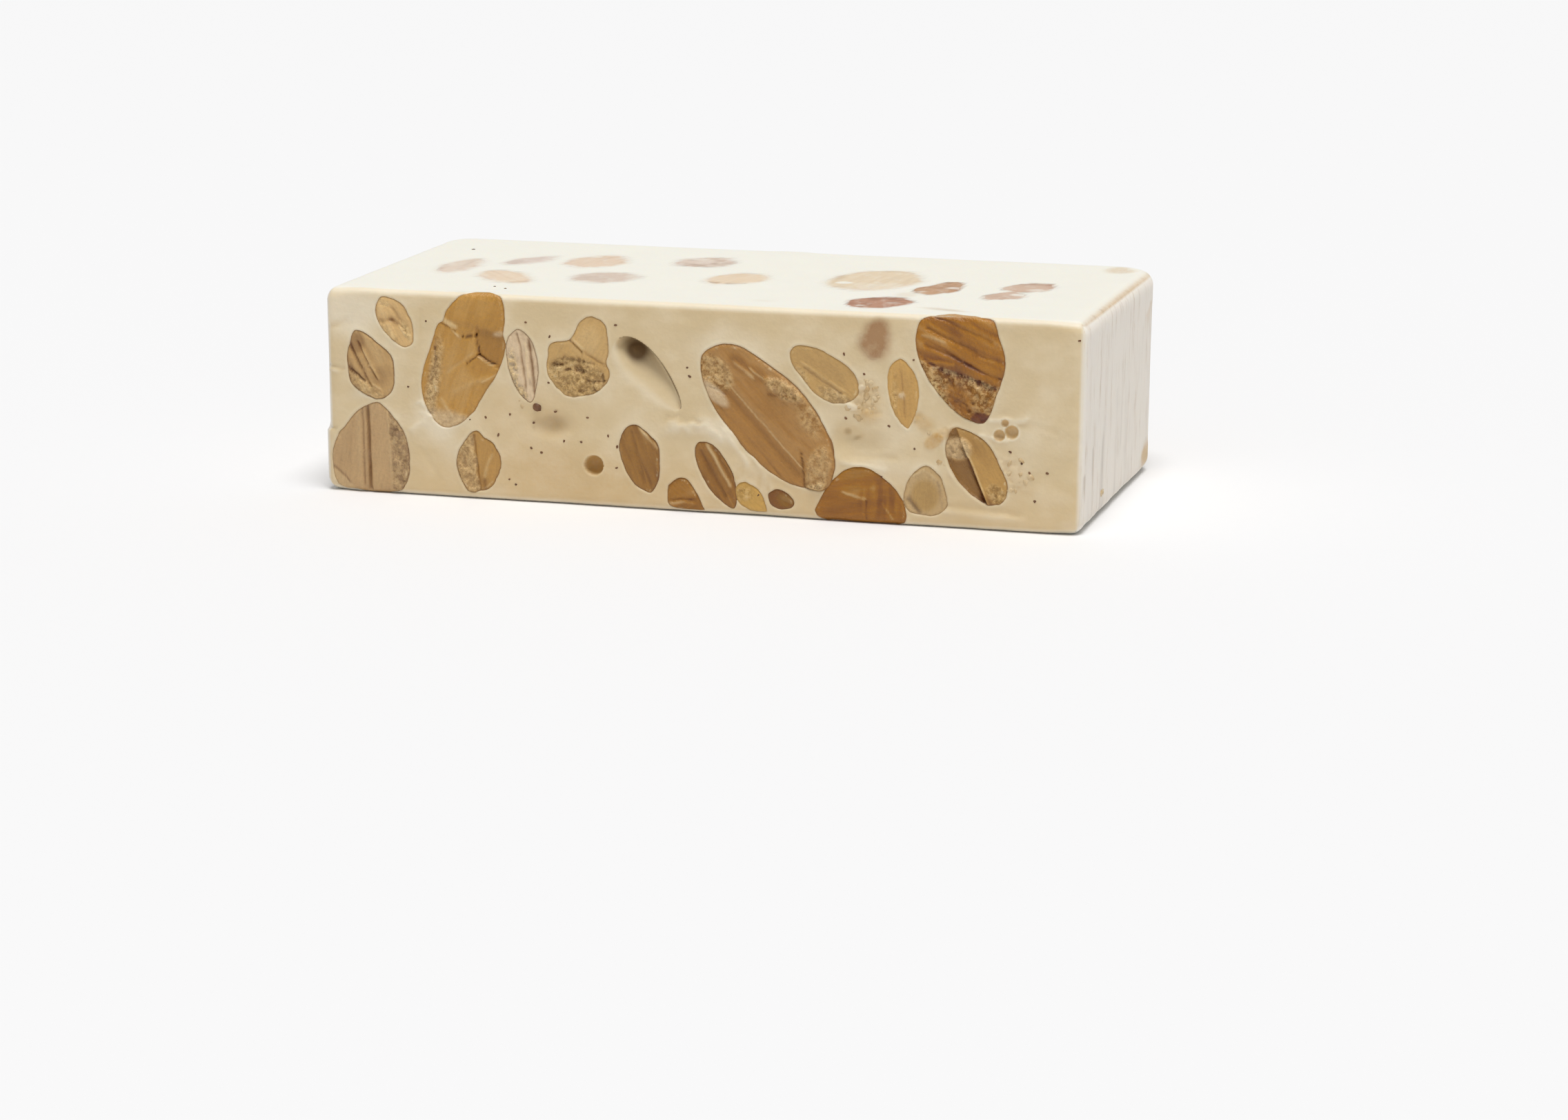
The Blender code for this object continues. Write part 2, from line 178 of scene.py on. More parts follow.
@dataclass(frozen=True)
class Bar:
    """The block's own form: a box with rounded edges, a leaning end and a ledge."""

    length: float = (CAD_BOX[1].x - CAD_BOX[0].x) / MM
    depth: float = (CAD_BOX[1].y - CAD_BOX[0].y) / MM
    height: float = (CAD_BOX[1].z - CAD_BOX[0].z) / MM
    top_round: float = 1.6
    front_round: float = 0.7  # the top edge along the front is sharper than the others
    foot_round: float = 1.0
    foot_swell: float = 0.7  # how much rounder the foot's edges are at the ends
    front_blend: tuple[float, float] = (-5.0, 1.0)  # where round a corner the front's edge becomes an end's
    swell_reach: float = 5.0
    corner_rounds: tuple[tuple[int, int, float], ...] = (
        (-1, -1, 1.3), (1, -1, 1.3), (-1, 1, 4.0), (1, 1, 5.0),
    )
    end_lean: float = 0.35
    ledge_height: float = 7.4
    ledge_step: float = 0.4
    reach: float = 6.0  # how far along the bar the ledge's step is felt
    edge_blend: float = 0.7  # how far round an edge one side's finish runs into the next one's
    wave_length: float = 8.0
    wave_height: float = 0.04
    cut_wave_height: float = 0.12  # how much higher the knife's waves are on the front and back
    cut_wave_reach: float = 0.8
    normal_step: float = 0.05

    def unfold(self, side: Side, across: np.ndarray, up: np.ndarray) -> np.ndarray:
        """Places on the sharp box of coordinates on one side, folded over an edge where they run past it.

        Args:
            side: The side that the coordinates belong to.
            across: Millimetres along the side's first axis.
            up: Millimetres along its second axis.

        Returns:
            One row of X, Y and Z in millimetres for each place.
        """
        half_length, half_depth = self.length / 2, self.depth / 2
        if side in (Side.TOP, Side.FOOT):
            sign = 1.0 if side is Side.TOP else -1.0
            level = np.full_like(across, self.height if side is Side.TOP else 0.0)
            return np.stack([np.clip(across * sign, -half_length, half_length), up, level], axis=1)
        over = np.maximum(up - self.height, 0.0)
        under = np.maximum(-up, 0.0)
        inward = over + under
        level = np.clip(up, 0.0, self.height)
        if side in (Side.FRONT, Side.BACK):
            sign = 1.0 if side is Side.FRONT else -1.0
            return np.stack([across * sign, (inward - half_depth) * sign, level], axis=1)
        sign = 1.0 if side is Side.RIGHT else -1.0
        return np.stack([(half_length - inward) * sign, across * sign, level], axis=1)

    def rounded(self, sharp: np.ndarray) -> np.ndarray:
        """Moves places from the sharp box onto the block's rounded form.

        Args:
            sharp: Places on the sharp box, one row each.

        Returns:
            The places on the block.
        """
        half = np.array([self.length / 2, self.depth / 2])
        plan, level = sharp[:, :2].copy(), sharp[:, 2].copy()
        inset = np.maximum((half - np.abs(plan)).min(axis=1), 0.0)
        from_front = plan[:, 1] + half[1] - (half[0] - np.abs(plan[:, 0]))
        rounder = smooth(*self.front_blend, from_front)
        top_round = self.front_round + (self.top_round - self.front_round) * rounder
        near_end = smooth(half[0] - self.swell_reach, half[0], np.abs(plan[:, 0]))
        foot_round = self.foot_round + self.foot_swell * near_end
        for rounding, start, sign in ((top_round, self.height, -1.0), (foot_round, 0.0, 1.0)):
            inward, downward = rounding - inset, rounding - (level - start) * sign
            near = (inward > 0) & (downward > 0)
            shell = np.maximum(inward, downward) / (np.hypot(inward, downward) + TINY)
            inset = np.where(near, rounding - shell * inward, inset)
            level = np.where(near, start + sign * (rounding - shell * downward), level)
        limit = half[None, :] - inset[:, None]
        plan = np.clip(plan, -limit, limit)
        for side_x, side_y, rounding in self.corner_rounds:
            out = plan * np.array([side_x, side_y]) - (half - rounding)
            near = (out > 0).all(axis=1)
            shell = out.max(axis=1) / (np.hypot(out[:, 0], out[:, 1]) + TINY)
            round_plan = (half - rounding + out * shell[:, None]) * np.array([side_x, side_y])
            plan = np.where(near[:, None], round_plan, plan)
        along = plan[:, 0] / half[0]
        lean = self.end_lean * (1.0 - level / self.height) * np.maximum(along, 0.0)
        near_end = smooth(half[0] - self.reach, half[0], -plan[:, 0])
        step = self.ledge_step * near_end * smooth(
            self.ledge_height - self.ledge_step, self.ledge_height + self.ledge_step, level
        )
        return np.stack([plan[:, 0] - lean + step, plan[:, 1], level], axis=1)

    def surface(self, side: Side, across: np.ndarray, up: np.ndarray) -> tuple[np.ndarray, np.ndarray]:
        """Places and outward normals on the block.

        Args:
            side: The side that the coordinates belong to.
            across: Millimetres along the side's first axis.
            up: Millimetres along its second axis.

        Returns:
            The places and the normals, one row each.
        """
        step = self.normal_step
        here = self.rounded(self.unfold(side, across, up))
        by_across = self.rounded(self.unfold(side, across + step, up)) - self.rounded(
            self.unfold(side, across - step, up)
        )
        by_up = self.rounded(self.unfold(side, across, up + step)) - self.rounded(
            self.unfold(side, across, up - step)
        )
        normal = np.cross(by_across, by_up)
        return here, normal / (np.linalg.norm(normal, axis=1, keepdims=True) + TINY)

    def folded(self, side: Side, sharp: np.ndarray) -> tuple[np.ndarray, np.ndarray, np.ndarray]:
        """A side's coordinates for places on the sharp box.

        Args:
            side: The side whose coordinates are asked for.
            sharp: Places on the sharp box, one row each.

        Returns:
            The two coordinates, and a mask of the places that the coordinates hold for.
        """
        x, y, z = sharp.T
        half_length, half_depth = self.length / 2, self.depth / 2
        if side is Side.TOP:
            return x, y, z > self.height - ON_EDGE
        if side is Side.FOOT:
            return -x, y, z < ON_EDGE
        out = {Side.FRONT: -y, Side.BACK: y, Side.RIGHT: x, Side.LEFT: -x}[side]
        across = {Side.FRONT: x, Side.BACK: -x, Side.RIGHT: y, Side.LEFT: -y}[side]
        limit = half_depth if side in (Side.FRONT, Side.BACK) else half_length
        inward = limit - out
        up = np.where(z > self.height - ON_EDGE, z + inward, np.where(z < ON_EDGE, z - inward, z))
        return across, up, (inward < ON_EDGE) | (z > self.height - ON_EDGE) | (z < ON_EDGE)

    def depth_behind(self, side: Side, sharp: np.ndarray) -> np.ndarray:
        """How far behind a side's plane places lie.

        Args:
            side: The side.
            sharp: Places on the sharp box, one row each.

        Returns:
            The distance of each in millimetres.
        """
        x, y, z = sharp.T
        half_length, half_depth = self.length / 2, self.depth / 2
        return {
            Side.FRONT: y + half_depth,
            Side.BACK: half_depth - y,
            Side.RIGHT: half_length - x,
            Side.LEFT: x + half_length,
            Side.TOP: self.height - z,
            Side.FOOT: z,
        }[side]

    def shares(self, sharp: np.ndarray) -> tuple[np.ndarray, np.ndarray]:
        """How much of each place belongs to the cut sides, and how much to the ends.

        Args:
            sharp: Places on the sharp box, one row each.

        Returns:
            Two amounts from 0 to 1 for each place; the rest belongs to the top or the foot.
        """
        near = {side: smooth(self.edge_blend, 0.0, self.depth_behind(side, sharp)) for side in Side}
        total = sum(near.values())
        cut = near[Side.FRONT] + near[Side.BACK]
        return cut / total, (near[Side.RIGHT] + near[Side.LEFT]) / total

    def waves(self, places: np.ndarray) -> np.ndarray:
        """The low waves that the knife left, strongest on the front and back.

        Args:
            places: Places on the block, one row each.

        Returns:
            How far out the surface stands at each, in millimetres.
        """
        cut = smooth(self.cut_wave_reach, 0.0, self.depth / 2 - np.abs(places[:, 1]))
        height = self.wave_height + self.cut_wave_height * cut
        return height * layered_noise(places, self.wave_length, Seed.WAVES)


BAR = Bar()


@dataclass
class Cut:
    """What a cut face looks like at a set of places: its relief and the amounts of each finish."""

    across: np.ndarray
    up: np.ndarray
    height: np.ndarray = field(init=False)
    tone: np.ndarray = field(init=False)
    crumb: np.ndarray = field(init=False)
    film: np.ndarray = field(init=False)

    def __post_init__(self) -> None:
        """Starts flat and plain."""
        for name in ("height", "tone", "crumb", "film"):
            setattr(self, name, np.zeros_like(self.across))

    def points(self) -> np.ndarray:
        """The places as rows of three, for noise."""
        return np.stack([self.across, self.up, np.zeros_like(self.up)], axis=1)


@dataclass(frozen=True)
class Oval:
    """An oval region of a side."""

    across: float
    up: float
    length: float
    width: float
    turn: float = 0.0
    soft: float = 0.3

    def mask(self, cut: Cut) -> np.ndarray:
        """Which places lie in the oval.

        Args:
            cut: The face.

        Returns:
            1 inside and 0 outside, with a soft rim.
        """
        along, beside = turned(cut.across - self.across, cut.up - self.up, -self.turn)
        share = np.hypot(along / (self.length / 2), beside / (self.width / 2))
        reach = (1.0 - share) * min(self.length, self.width) / 2
        return smooth(-self.soft, self.soft, reach)


@dataclass(frozen=True)
class LeftOf:
    """The half of a side that lies to the left of a line, looking from its start to its end."""

    across: float
    up: float
    end_across: float
    end_up: float
    soft: float = 0.12
    wander: float = 0.25

    wander_grain = 1.6

    def mask(self, cut: Cut) -> np.ndarray:
        """Which places lie to the left.

        Args:
            cut: The face.

        Returns:
            1 on the left and 0 on the right, with a soft rim.
        """
        run, rise = self.end_across - self.across, self.end_up - self.up
        size = math.hypot(run, rise)
        side = ((cut.up - self.up) * run - (cut.across - self.across) * rise) / size
        side += self.wander * layered_noise(cut.points(), self.wander_grain, Seed.BORDERS)
        return smooth(-self.soft, self.soft, side)


Region = Union[Oval, LeftOf]


def combined(regions: tuple[Region, ...], cut: Cut) -> np.ndarray:
    """Where all the regions overlap; everywhere if there are none.

    Args:
        regions: The regions.
        cut: The face.

    Returns:
        From 0 to 1 at each place of the face.
    """
    share = np.ones_like(cut.across)
    for region in regions:
        share = share * region.mask(cut)
    return share


@dataclass(frozen=True)
class Patch:
    """A stretch of the cut face that differs from the rest."""

    regions: tuple[Region, ...] = ()
    height: float = 0.0
    tone: float = 0.0
    crumb: float = 0.0
    film: float = 0.0
    rough: float = 0.0  # how high its broken grains stand
    grain: float = 0.55  # how wide they are

    blunt = 0.7  # the power that makes its grains steep
    # how much painted shade the low parts of its grains get
    shade = 0.5

    def mark(self, cut: Cut) -> None:
        """Adds the patch to the face.

        Args:
            cut: The face.
        """
        share = combined(self.regions, cut)
        lumps = 0.0
        if self.rough:
            lumps = layered_noise(cut.points(), self.grain, Seed.GRAINS, 2)
            lumps = np.sign(lumps) * np.abs(lumps) ** self.blunt
        cut.height += share * (self.height + self.rough * lumps)
        cut.tone += share * (self.tone + self.shade * np.minimum(lumps, 0.0))
        cut.crumb += share * self.crumb
        cut.film += share * self.film


def spot(
    across: float, up: float, length: float, width: float, turn: float = 0.0, soft: float = 0.3, **look: float
) -> Patch:
    """A patch inside an oval, with the patch's own amounts as look."""
    return Patch((Oval(across, up, length, width, turn, soft),), **look)


@dataclass(frozen=True)
class Groove:
    """A crack, seam or fine ridge along a line. Its tone, darker in cracks and paler on ridges, is partly the
    mark's own colour and partly painted shade and highlight.
    """

    across: float
    up: float
    end_across: float
    end_up: float
    width: float = 0.2
    depth: float = 0.3
    tone: float = -0.9
    wander: float = 0.15

    wander_grain = 1.3

    def mark(self, cut: Cut) -> None:
        """Adds the groove to the face.

        Args:
            cut: The face.
        """
        run, rise = self.end_across - self.across, self.end_up - self.up
        size = math.hypot(run, rise)
        along = ((cut.across - self.across) * run + (cut.up - self.up) * rise) / size
        beside = ((cut.up - self.up) * run - (cut.across - self.across) * rise) / size
        beside += self.wander * layered_noise(cut.points(), self.wander_grain, Seed.GROOVES, 2)
        past = np.maximum(np.maximum(-along, along - size), 0.0)
        share = hump(np.hypot(beside, past), self.width)
        cut.height -= self.depth * share
        cut.tone += self.tone * share


@dataclass(frozen=True)
class Fibres:
    """Ridges that run side by side, as in an almond's torn skin or flesh. Their darker furrows and paler
    crests are partly the flesh's own streaks and partly painted shade and highlight.
    """

    turn: float
    pitch: float = 0.9
    depth: float = 0.08
    tone: float = -0.4
    regions: tuple[Region, ...] = ()
    seed: int = 0

    stretch = 9.0  # how much longer than wide a ridge is
    shine = 0.4  # how much paler a ridge is than its furrow is dark

    def mark(self, cut: Cut) -> None:
        """Adds the ridges to the face.

        Args:
            cut: The face.
        """
        along, beside = turned(cut.across, cut.up, -self.turn)
        rows = np.stack([along / self.stretch, beside, np.full_like(along, self.seed)], axis=1)
        wave = layered_noise(rows, self.pitch, Seed.FIBRES)
        share = combined(self.regions, cut)
        cut.height += share * self.depth * wave
        cut.tone += share * self.tone * smooth(0.0, -0.6, wave)
        cut.tone -= share * self.tone * self.shine * smooth(0.1, 0.6, wave)


Mark = Union[Patch, Groove, Fibres]


class Band(Enum):
    """Where a veiled almond's colour starts and is full, in millimetres inside its outline."""

    SOFT = (-0.5, 1.3)
    RAGGED = (-0.1, 0.5)


class Flesh(Enum):
    """The look of an almond's cut flesh, by the record's slot."""

    TAN = "almond_tan"
    GOLDEN = "almond_golden"
    BROWN = "almond_brown"
    GREY = "almond_grey"
    VEILED = "almond_veiled"


@dataclass(frozen=True)
class Almond:
    """A cut almond: its section on a side, and what shows in the cut.

    turn is the angle of its long axis, taper draws in the end that it points to, sharp draws in both
    ends, and broken makes the outline uneven. skin is how much of its rim is dark.
    """

    across: float
    up: float
    length: float
    width: float
    turn: float
    depth: float = 3.2
    taper: float = 0.12
    sharp: float = 0.15
    broken: float = 0.02
    flesh: Flesh = Flesh.TAN
    marks: tuple[Mark, ...] = ()
    skin: float = 0.5
    tint: tuple[int, int, int] = (181, 148, 105)  # how its flesh looks in the studio, from 0 to 255
    band: Band = Band.SOFT
    bumps: tuple[tuple[float, float, float], ...] = ()  # each one's bearing, height and spread
    ragged: float = 0.1  # how far its rim's fine unevenness stands out, in millimetres
    side: Side = Side.FRONT
    name: str = ""

    waves = (3, 5, 7)
    mesh_step = 0.15
    step_round = 1.35  # how much longer its faces are round the rim than towards the middle
    fewest_round = 36
    fewest_rings = 8
    bowl_rings = 3
    rim_places = 361
    near = 0.8  # the share of its length that everything of it lies within
    wall = ((0.0, 0.35), (0.02, 0.9))  # inset and depth of the rings below the rim
    crowding = 1.3  # how much closer the face's rings lie at the rim
    shallowest = 0.3
    lens_rise = 0.05
    lens_reach = 1.2  # how far in from the rim a lens stands at its full height
    lens_drop = 0.12
    lens_drop_reach = 0.25
    calm_reach = 0.5  # how far in from the rim the cut's relief is full
    rim_ridge = 0.07
    ridge_inset = 0.42
    ridge_width = 0.2
    ridge_grain = 0.9
    rim_drop = 0.14
    drop_reach = 0.16
    rag_grain = 1.1

    @property
    def lens(self) -> bool:
        """Whether it is seen through a film of nougat, and so is a thin lens with the nougat's finish."""
        return self.flesh is Flesh.VEILED or self.side not in (Side.FRONT, Side.BACK)

    def phases(self) -> list[float]:
        """Where each wave of the uneven outline starts."""
        draw = random.Random(self.name)
        return [draw.uniform(0, 2 * math.pi) for _ in self.waves]

    def outline(self, angle: np.ndarray) -> tuple[np.ndarray, np.ndarray]:
        """Points of the outline along and across the almond's axis.

        Args:
            angle: Angles round the almond, in radians.

        Returns:
            Millimetres along the axis and across it.
        """
        uneven = sum(np.sin(n * angle + p) / n for n, p in zip(self.waves, self.phases()))
        swell = 1 + self.broken * 3 * uneven
        narrow = (1 - self.taper * np.cos(angle)) * np.abs(np.sin(angle)) ** self.sharp
        along = self.length / 2 * np.cos(angle) * swell
        beside = self.width / 2 * np.sin(angle) * narrow * swell
        bearing = np.arctan2(beside, along) + math.radians(self.turn)
        rim = np.stack([along, beside, np.full_like(along, self.across)], axis=1)
        out = (0.0 if self.lens else self.ragged) * layered_noise(rim, self.rag_grain, Seed.RIMS)
        for at, height, spread in self.bumps:
            off = (bearing - math.radians(at) + np.pi) % (2 * np.pi) - np.pi
            out = out + height * hump(off, math.radians(spread))
        grown = 1.0 + out / (np.hypot(along, beside) + TINY)
        return along * grown, beside * grown

    def to_side(self, along: np.ndarray, beside: np.ndarray) -> tuple[np.ndarray, np.ndarray]:
        """Coordinates on the side of places given along and across the almond's axis."""
        across, up = turned(along, beside, self.turn)
        return self.across + across, self.up + up

    def from_side(self, across: np.ndarray, up: np.ndarray) -> tuple[np.ndarray, np.ndarray]:
        """Places along and across the almond's axis of coordinates on the side."""
        return turned(across - self.across, up - self.up, -self.turn)

    def outside(self, across: np.ndarray, up: np.ndarray) -> np.ndarray:
        """How far outside the outline places lie, in millimetres; negative inside.

        Args:
            across: The side's first coordinate.
            up: The side's second coordinate.

        Returns:
            The distance of each place.
        """
        along, beside = self.from_side(across, up)
        rim_along, rim_beside = self.outline(np.linspace(-np.pi, np.pi, self.rim_places))
        bearing = np.unwrap(np.arctan2(rim_beside, rim_along))
        reach = np.hypot(rim_along, rim_beside)
        here = np.interp(np.arctan2(beside, along), bearing, reach, period=2 * np.pi)
        slope = np.gradient(reach, bearing)
        lean = np.interp(np.arctan2(beside, along), bearing, slope, period=2 * np.pi) / here
        return (np.hypot(along, beside) - here) / np.sqrt(1 + lean * lean)

    def cut_at(self, across: np.ndarray, up: np.ndarray) -> Cut:
        """The relief and finish of the cut.

        Args:
            across: The side's first coordinate of each place.
            up: Its second coordinate.

        Returns:
            The face at those places.
        """
        cut = Cut(across, up)
        Fibres(self.turn, pitch=0.6, depth=0.03, tone=-0.12).mark(cut)
        for mark in self.marks:
            mark.mark(cut)
        return cut

    def worn(self) -> "Almond":
        """Gives the almond a seam, a paler half, a crumbled patch and fibres, drawn by its name.

        Returns:
            The almond with those marks.
        """
        draw = random.Random(self.name + "_worn")
        ends = []
        for along in (-0.42, 0.42):
            beside = draw.uniform(-0.16, 0.16) * self.width
            ends += self.to_side(np.float64(along * self.length), np.float64(beside))
        along, beside = draw.choice((-0.3, 0.3)) * self.length, draw.uniform(-0.25, 0.25) * self.width
        crumbled = self.to_side(np.float64(along), np.float64(beside))
        low = draw.uniform(0.1, 0.3)
        marks = (
            Groove(*ends, 0.16, 0.3, -0.8, 0.1),
            Patch((LeftOf(*ends, 0.15),), height=-low, tone=-low),
            Patch((LeftOf(*ends[2:], *ends[:2], 0.15),), tone=0.15),
            spot(*crumbled, self.length * 0.4, self.width * 0.5, self.turn,
                 crumb=draw.uniform(0.3, 0.8), rough=0.15),
            Fibres(self.turn, draw.uniform(0.6, 1.1), 0.07, -0.4),
        )
        return replace(self, marks=marks, skin=draw.uniform(0.4, 0.9))

    def build(self) -> bpy.types.Object:
        """Models the almond from a sphere: its upper rings are the cut face, its last ones the bowl.

        Returns:
            The almond's object, with its finish amounts as attributes.
        """
        around = int(math.pi * (self.length + self.width) / 2 / (self.step_round * self.mesh_step))
        around = max(self.fewest_round, around)
        face_rings = max(self.fewest_rings, int(self.width / 2 / self.mesh_step))
        wall_rings = len(self.wall)
        rings = face_rings + wall_rings + self.bowl_rings
        bm = bmesh.new()
        bmesh.ops.create_uvsphere(bm, u_segments=around, v_segments=rings, radius=1)
        mesh = as_mesh(bm, self.name)
        ball = rows_of(mesh.vertices, "co")
        ring = np.rint(np.arccos(np.clip(ball[:, 2], -1, 1)) / np.pi * rings).astype(int)
        along, beside = self.outline(np.arctan2(ball[:, 1], ball[:, 0]))
        share = 1.0 - (1.0 - np.minimum(ring / face_rings, 1.0)) ** self.crowding
        sunk = np.zeros(len(ring))
        for step, (inset, depth) in enumerate(self.wall):
            below = ring >= face_rings + 1 + step
            share = np.where(below, 1.0 - inset, share)
            sunk = np.where(below, depth, sunk)
        bowl = np.clip((ring - face_rings - wall_rings) / (rings - face_rings - wall_rings), 0.0, 1.0)
        share = share * np.cos(bowl * np.pi / 2)
        sunk = sunk + max(self.depth - self.wall[-1][1], self.shallowest) * np.sin(bowl * np.pi / 2)
        along, beside = along * share, beside * share
        across, up = self.to_side(along, beside)
        cut = self.cut_at(across, up)
        inside = np.maximum(-self.outside(across, up), 0.0)
        on_face = ring <= face_rings
        calm = smooth(0.0, self.calm_reach, inside)
        if self.lens:
            lift = self.lens_rise * smooth(0.0, self.lens_reach, inside)
            lift -= self.lens_drop * smooth(self.lens_drop_reach, 0.0, inside)
        else:
            ridge = hump(inside, self.ridge_width, self.ridge_inset)
            ridge *= 0.5 + layered_noise(cut.points(), self.ridge_grain, Seed.RIDGES, 2)
            drop = self.rim_drop * np.exp(-inside / self.drop_reach)
            lift = cut.height * calm - drop + self.rim_ridge * ridge
        height = np.where(on_face, lift, -self.rim_drop - sunk)
        place, normal = BAR.surface(self.side, across, up)
        height += BAR.waves(place)
        put(mesh, place + normal * height[:, None])
        if self.lens:
            amounts = {"tone": np.clip(cut.tone, -1.0, 0.0), "crumb": np.zeros_like(along)}
            sharp = BAR.unfold(self.side, across, up)
            dress_nougat(mesh, sharp, (self,), amounts, np.clip(cut.film, 0.0, 1.0))
            return finish_mesh(mesh, self.name + "_cut")
        amounts = {
            "grain": np.stack([along, beside, np.zeros_like(along)], axis=1),
            "flesh": toned(in_studio(self.side, self.tint), cut.tone),
            "crumb": np.clip(cut.crumb, 0, 1),
            "film": np.clip(cut.film, 0, 1),
            "inside": np.where(on_face, inside, 0.0),
            "skin": np.full(len(ring), self.skin),
        }
        for name, values in amounts.items():
            add_attribute(mesh, name, values)
        return finish_mesh(mesh, self.name + "_cut")


DARKENING = np.array([0.52, 0.62, 0.70])  # how much of each colour a full dark takes away
LIGHTENING = 0.6
CREAM = np.array([0.84, 0.64, 0.34])
DARKEST = 0.01


def toned(colour: np.ndarray, tone: np.ndarray) -> np.ndarray:
    """A colour made darker and browner, or lighter and creamier.

    Args:
        colour: The linear colour.
        tone: -1 for dark to 1 for light at each place.

    Returns:
        A colour for each place.
    """
    dark = np.clip(-tone, 0.0, 1.3)[:, None] * DARKENING
    light = np.clip(tone, 0.0, 1.0)[:, None] * LIGHTENING
    return np.maximum(colour * (1.0 - dark) * (1.0 - light) + CREAM * light, DARKEST)


def as_mesh(bm: bmesh.types.BMesh, name: str) -> bpy.types.Mesh:
    """Makes a mesh of what a bmesh holds, and frees the bmesh.

    Args:
        bm: The bmesh.
        name: The mesh's name.

    Returns:
        The mesh.
    """
    mesh = bpy.data.meshes.new(name)
    bm.to_mesh(mesh)
    bm.free()
    return mesh


def rows_of(parts: bpy.types.bpy_prop_collection, name: str) -> np.ndarray:
    """Reads a vector of each of a mesh's parts.

    Args:
        parts: The mesh's vertices or vertex normals.
        name: The vector's name there.

    Returns:
        One row for each part.
    """
    values = np.zeros(len(parts) * 3)
    parts.foreach_get(name, values)
    return values.reshape(-1, 3)


def put(mesh: bpy.types.Mesh, places: np.ndarray) -> None:
    """Puts a mesh's vertices in place, none of them below the floor.

    Args:
        mesh: The mesh.
        places: A place for each vertex, in millimetres.
    """
    places = places * MM
    places[:, 2] = np.maximum(places[:, 2], 0.0)
    mesh.vertices.foreach_set("co", places.ravel())


def face_outwards(mesh: bpy.types.Mesh) -> None:
    """Turns the faces of a closed mesh outwards.

    Args:
        mesh: The mesh.
    """
    bm = bmesh.new()
    bm.from_mesh(mesh)
    bmesh.ops.recalc_face_normals(bm, faces=bm.faces)
    if bm.calc_volume(signed=True) < 0:
        bmesh.ops.reverse_faces(bm, faces=bm.faces)
    bm.to_mesh(mesh)
    bm.free()
    mesh.update()


def new_object(name: str, data: bpy.types.ID) -> bpy.types.Object:
    """Puts a new object in the scene.

    Args:
        name: The object's name.
        data: Its mesh, lamp or camera.

    Returns:
        The object.
    """
    obj = bpy.data.objects.new(name, data)
    bpy.context.scene.collection.objects.link(obj)
    return obj


def add_attribute(mesh: bpy.types.Mesh, name: str, values: np.ndarray) -> None:
    """Stores one value or one vector for each vertex of a mesh.

    Args:
        mesh: The mesh.
        name: The attribute's name.
        values: The values, or a row for each vector.
    """
    vector = values.ndim == 2
    attribute = mesh.attributes.new(name, "FLOAT_VECTOR" if vector else "FLOAT", "POINT")
    attribute.data.foreach_set("vector" if vector else "value", values.astype(np.float32).ravel())


def finish_mesh(mesh: bpy.types.Mesh, name: str) -> bpy.types.Object:
    """Turns a mesh's faces outwards, shades it smooth and puts it in the scene.

    Args:
        mesh: A closed mesh.
        name: The name of the object.

    Returns:
        The object.
    """
    face_outwards(mesh)
    mesh.shade_smooth()
    mesh.update()
    return new_object(name, mesh)


def show(piece: bpy.types.Object, slot: str, *nodes: str) -> None:
    """Makes a piece ride on the block, and hides the nodes that it stands for.

    Args:
        piece: The piece.
        slot: The record's material slot; not used.
        nodes: The nodes, if any.
    """
    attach(piece, "root")
    if nodes:
        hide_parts(*nodes)
    LOG.info("%s: %d faces", piece.name, len(piece.data.polygons))


class Wire:
    """A value in a material's nodes; arithmetic on it adds Math nodes."""

    def __init__(self, bench: "Bench", socket: bpy.types.NodeSocket) -> None:
        """Wraps an output socket of one of the bench's nodes."""
        self.bench = bench
        self.socket = socket

    def maths(self, operation: str, *others: "Term") -> "Wire":
        """The result of a Math node that starts with this value."""
        return self.bench.maths(operation, self, *others)

    def __add__(self, other: "Term") -> "Wire":
        """This value and the other, added."""
        return self.maths("ADD", other)

    def __sub__(self, other: "Term") -> "Wire":
        """This value less the other."""
        return self.maths("SUBTRACT", other)

    def __rsub__(self, other: "Term") -> "Wire":
        """The other less this value."""
        return self.bench.maths("SUBTRACT", other, self)

    def __mul__(self, other: "Term") -> "Wire":
        """This value times the other."""
        return self.maths("MULTIPLY", other)

    def __truediv__(self, other: "Term") -> "Wire":
        """This value over the other."""
        return self.maths("DIVIDE", other)

    __radd__ = __add__
    __rmul__ = __mul__

    def step(self, low: float, high: float) -> "Wire":
        """A smooth step from 0 where this value is low to 1 where it is high; low may be the larger."""
        inputs = {"Value": self, "From Min": low, "From Max": high, "To Min": 0.0, "To Max": 1.0}
        return self.bench.node("ShaderNodeMapRange", {"interpolation_type": "SMOOTHSTEP"}, inputs)


Term = Union[Wire, float, tuple]


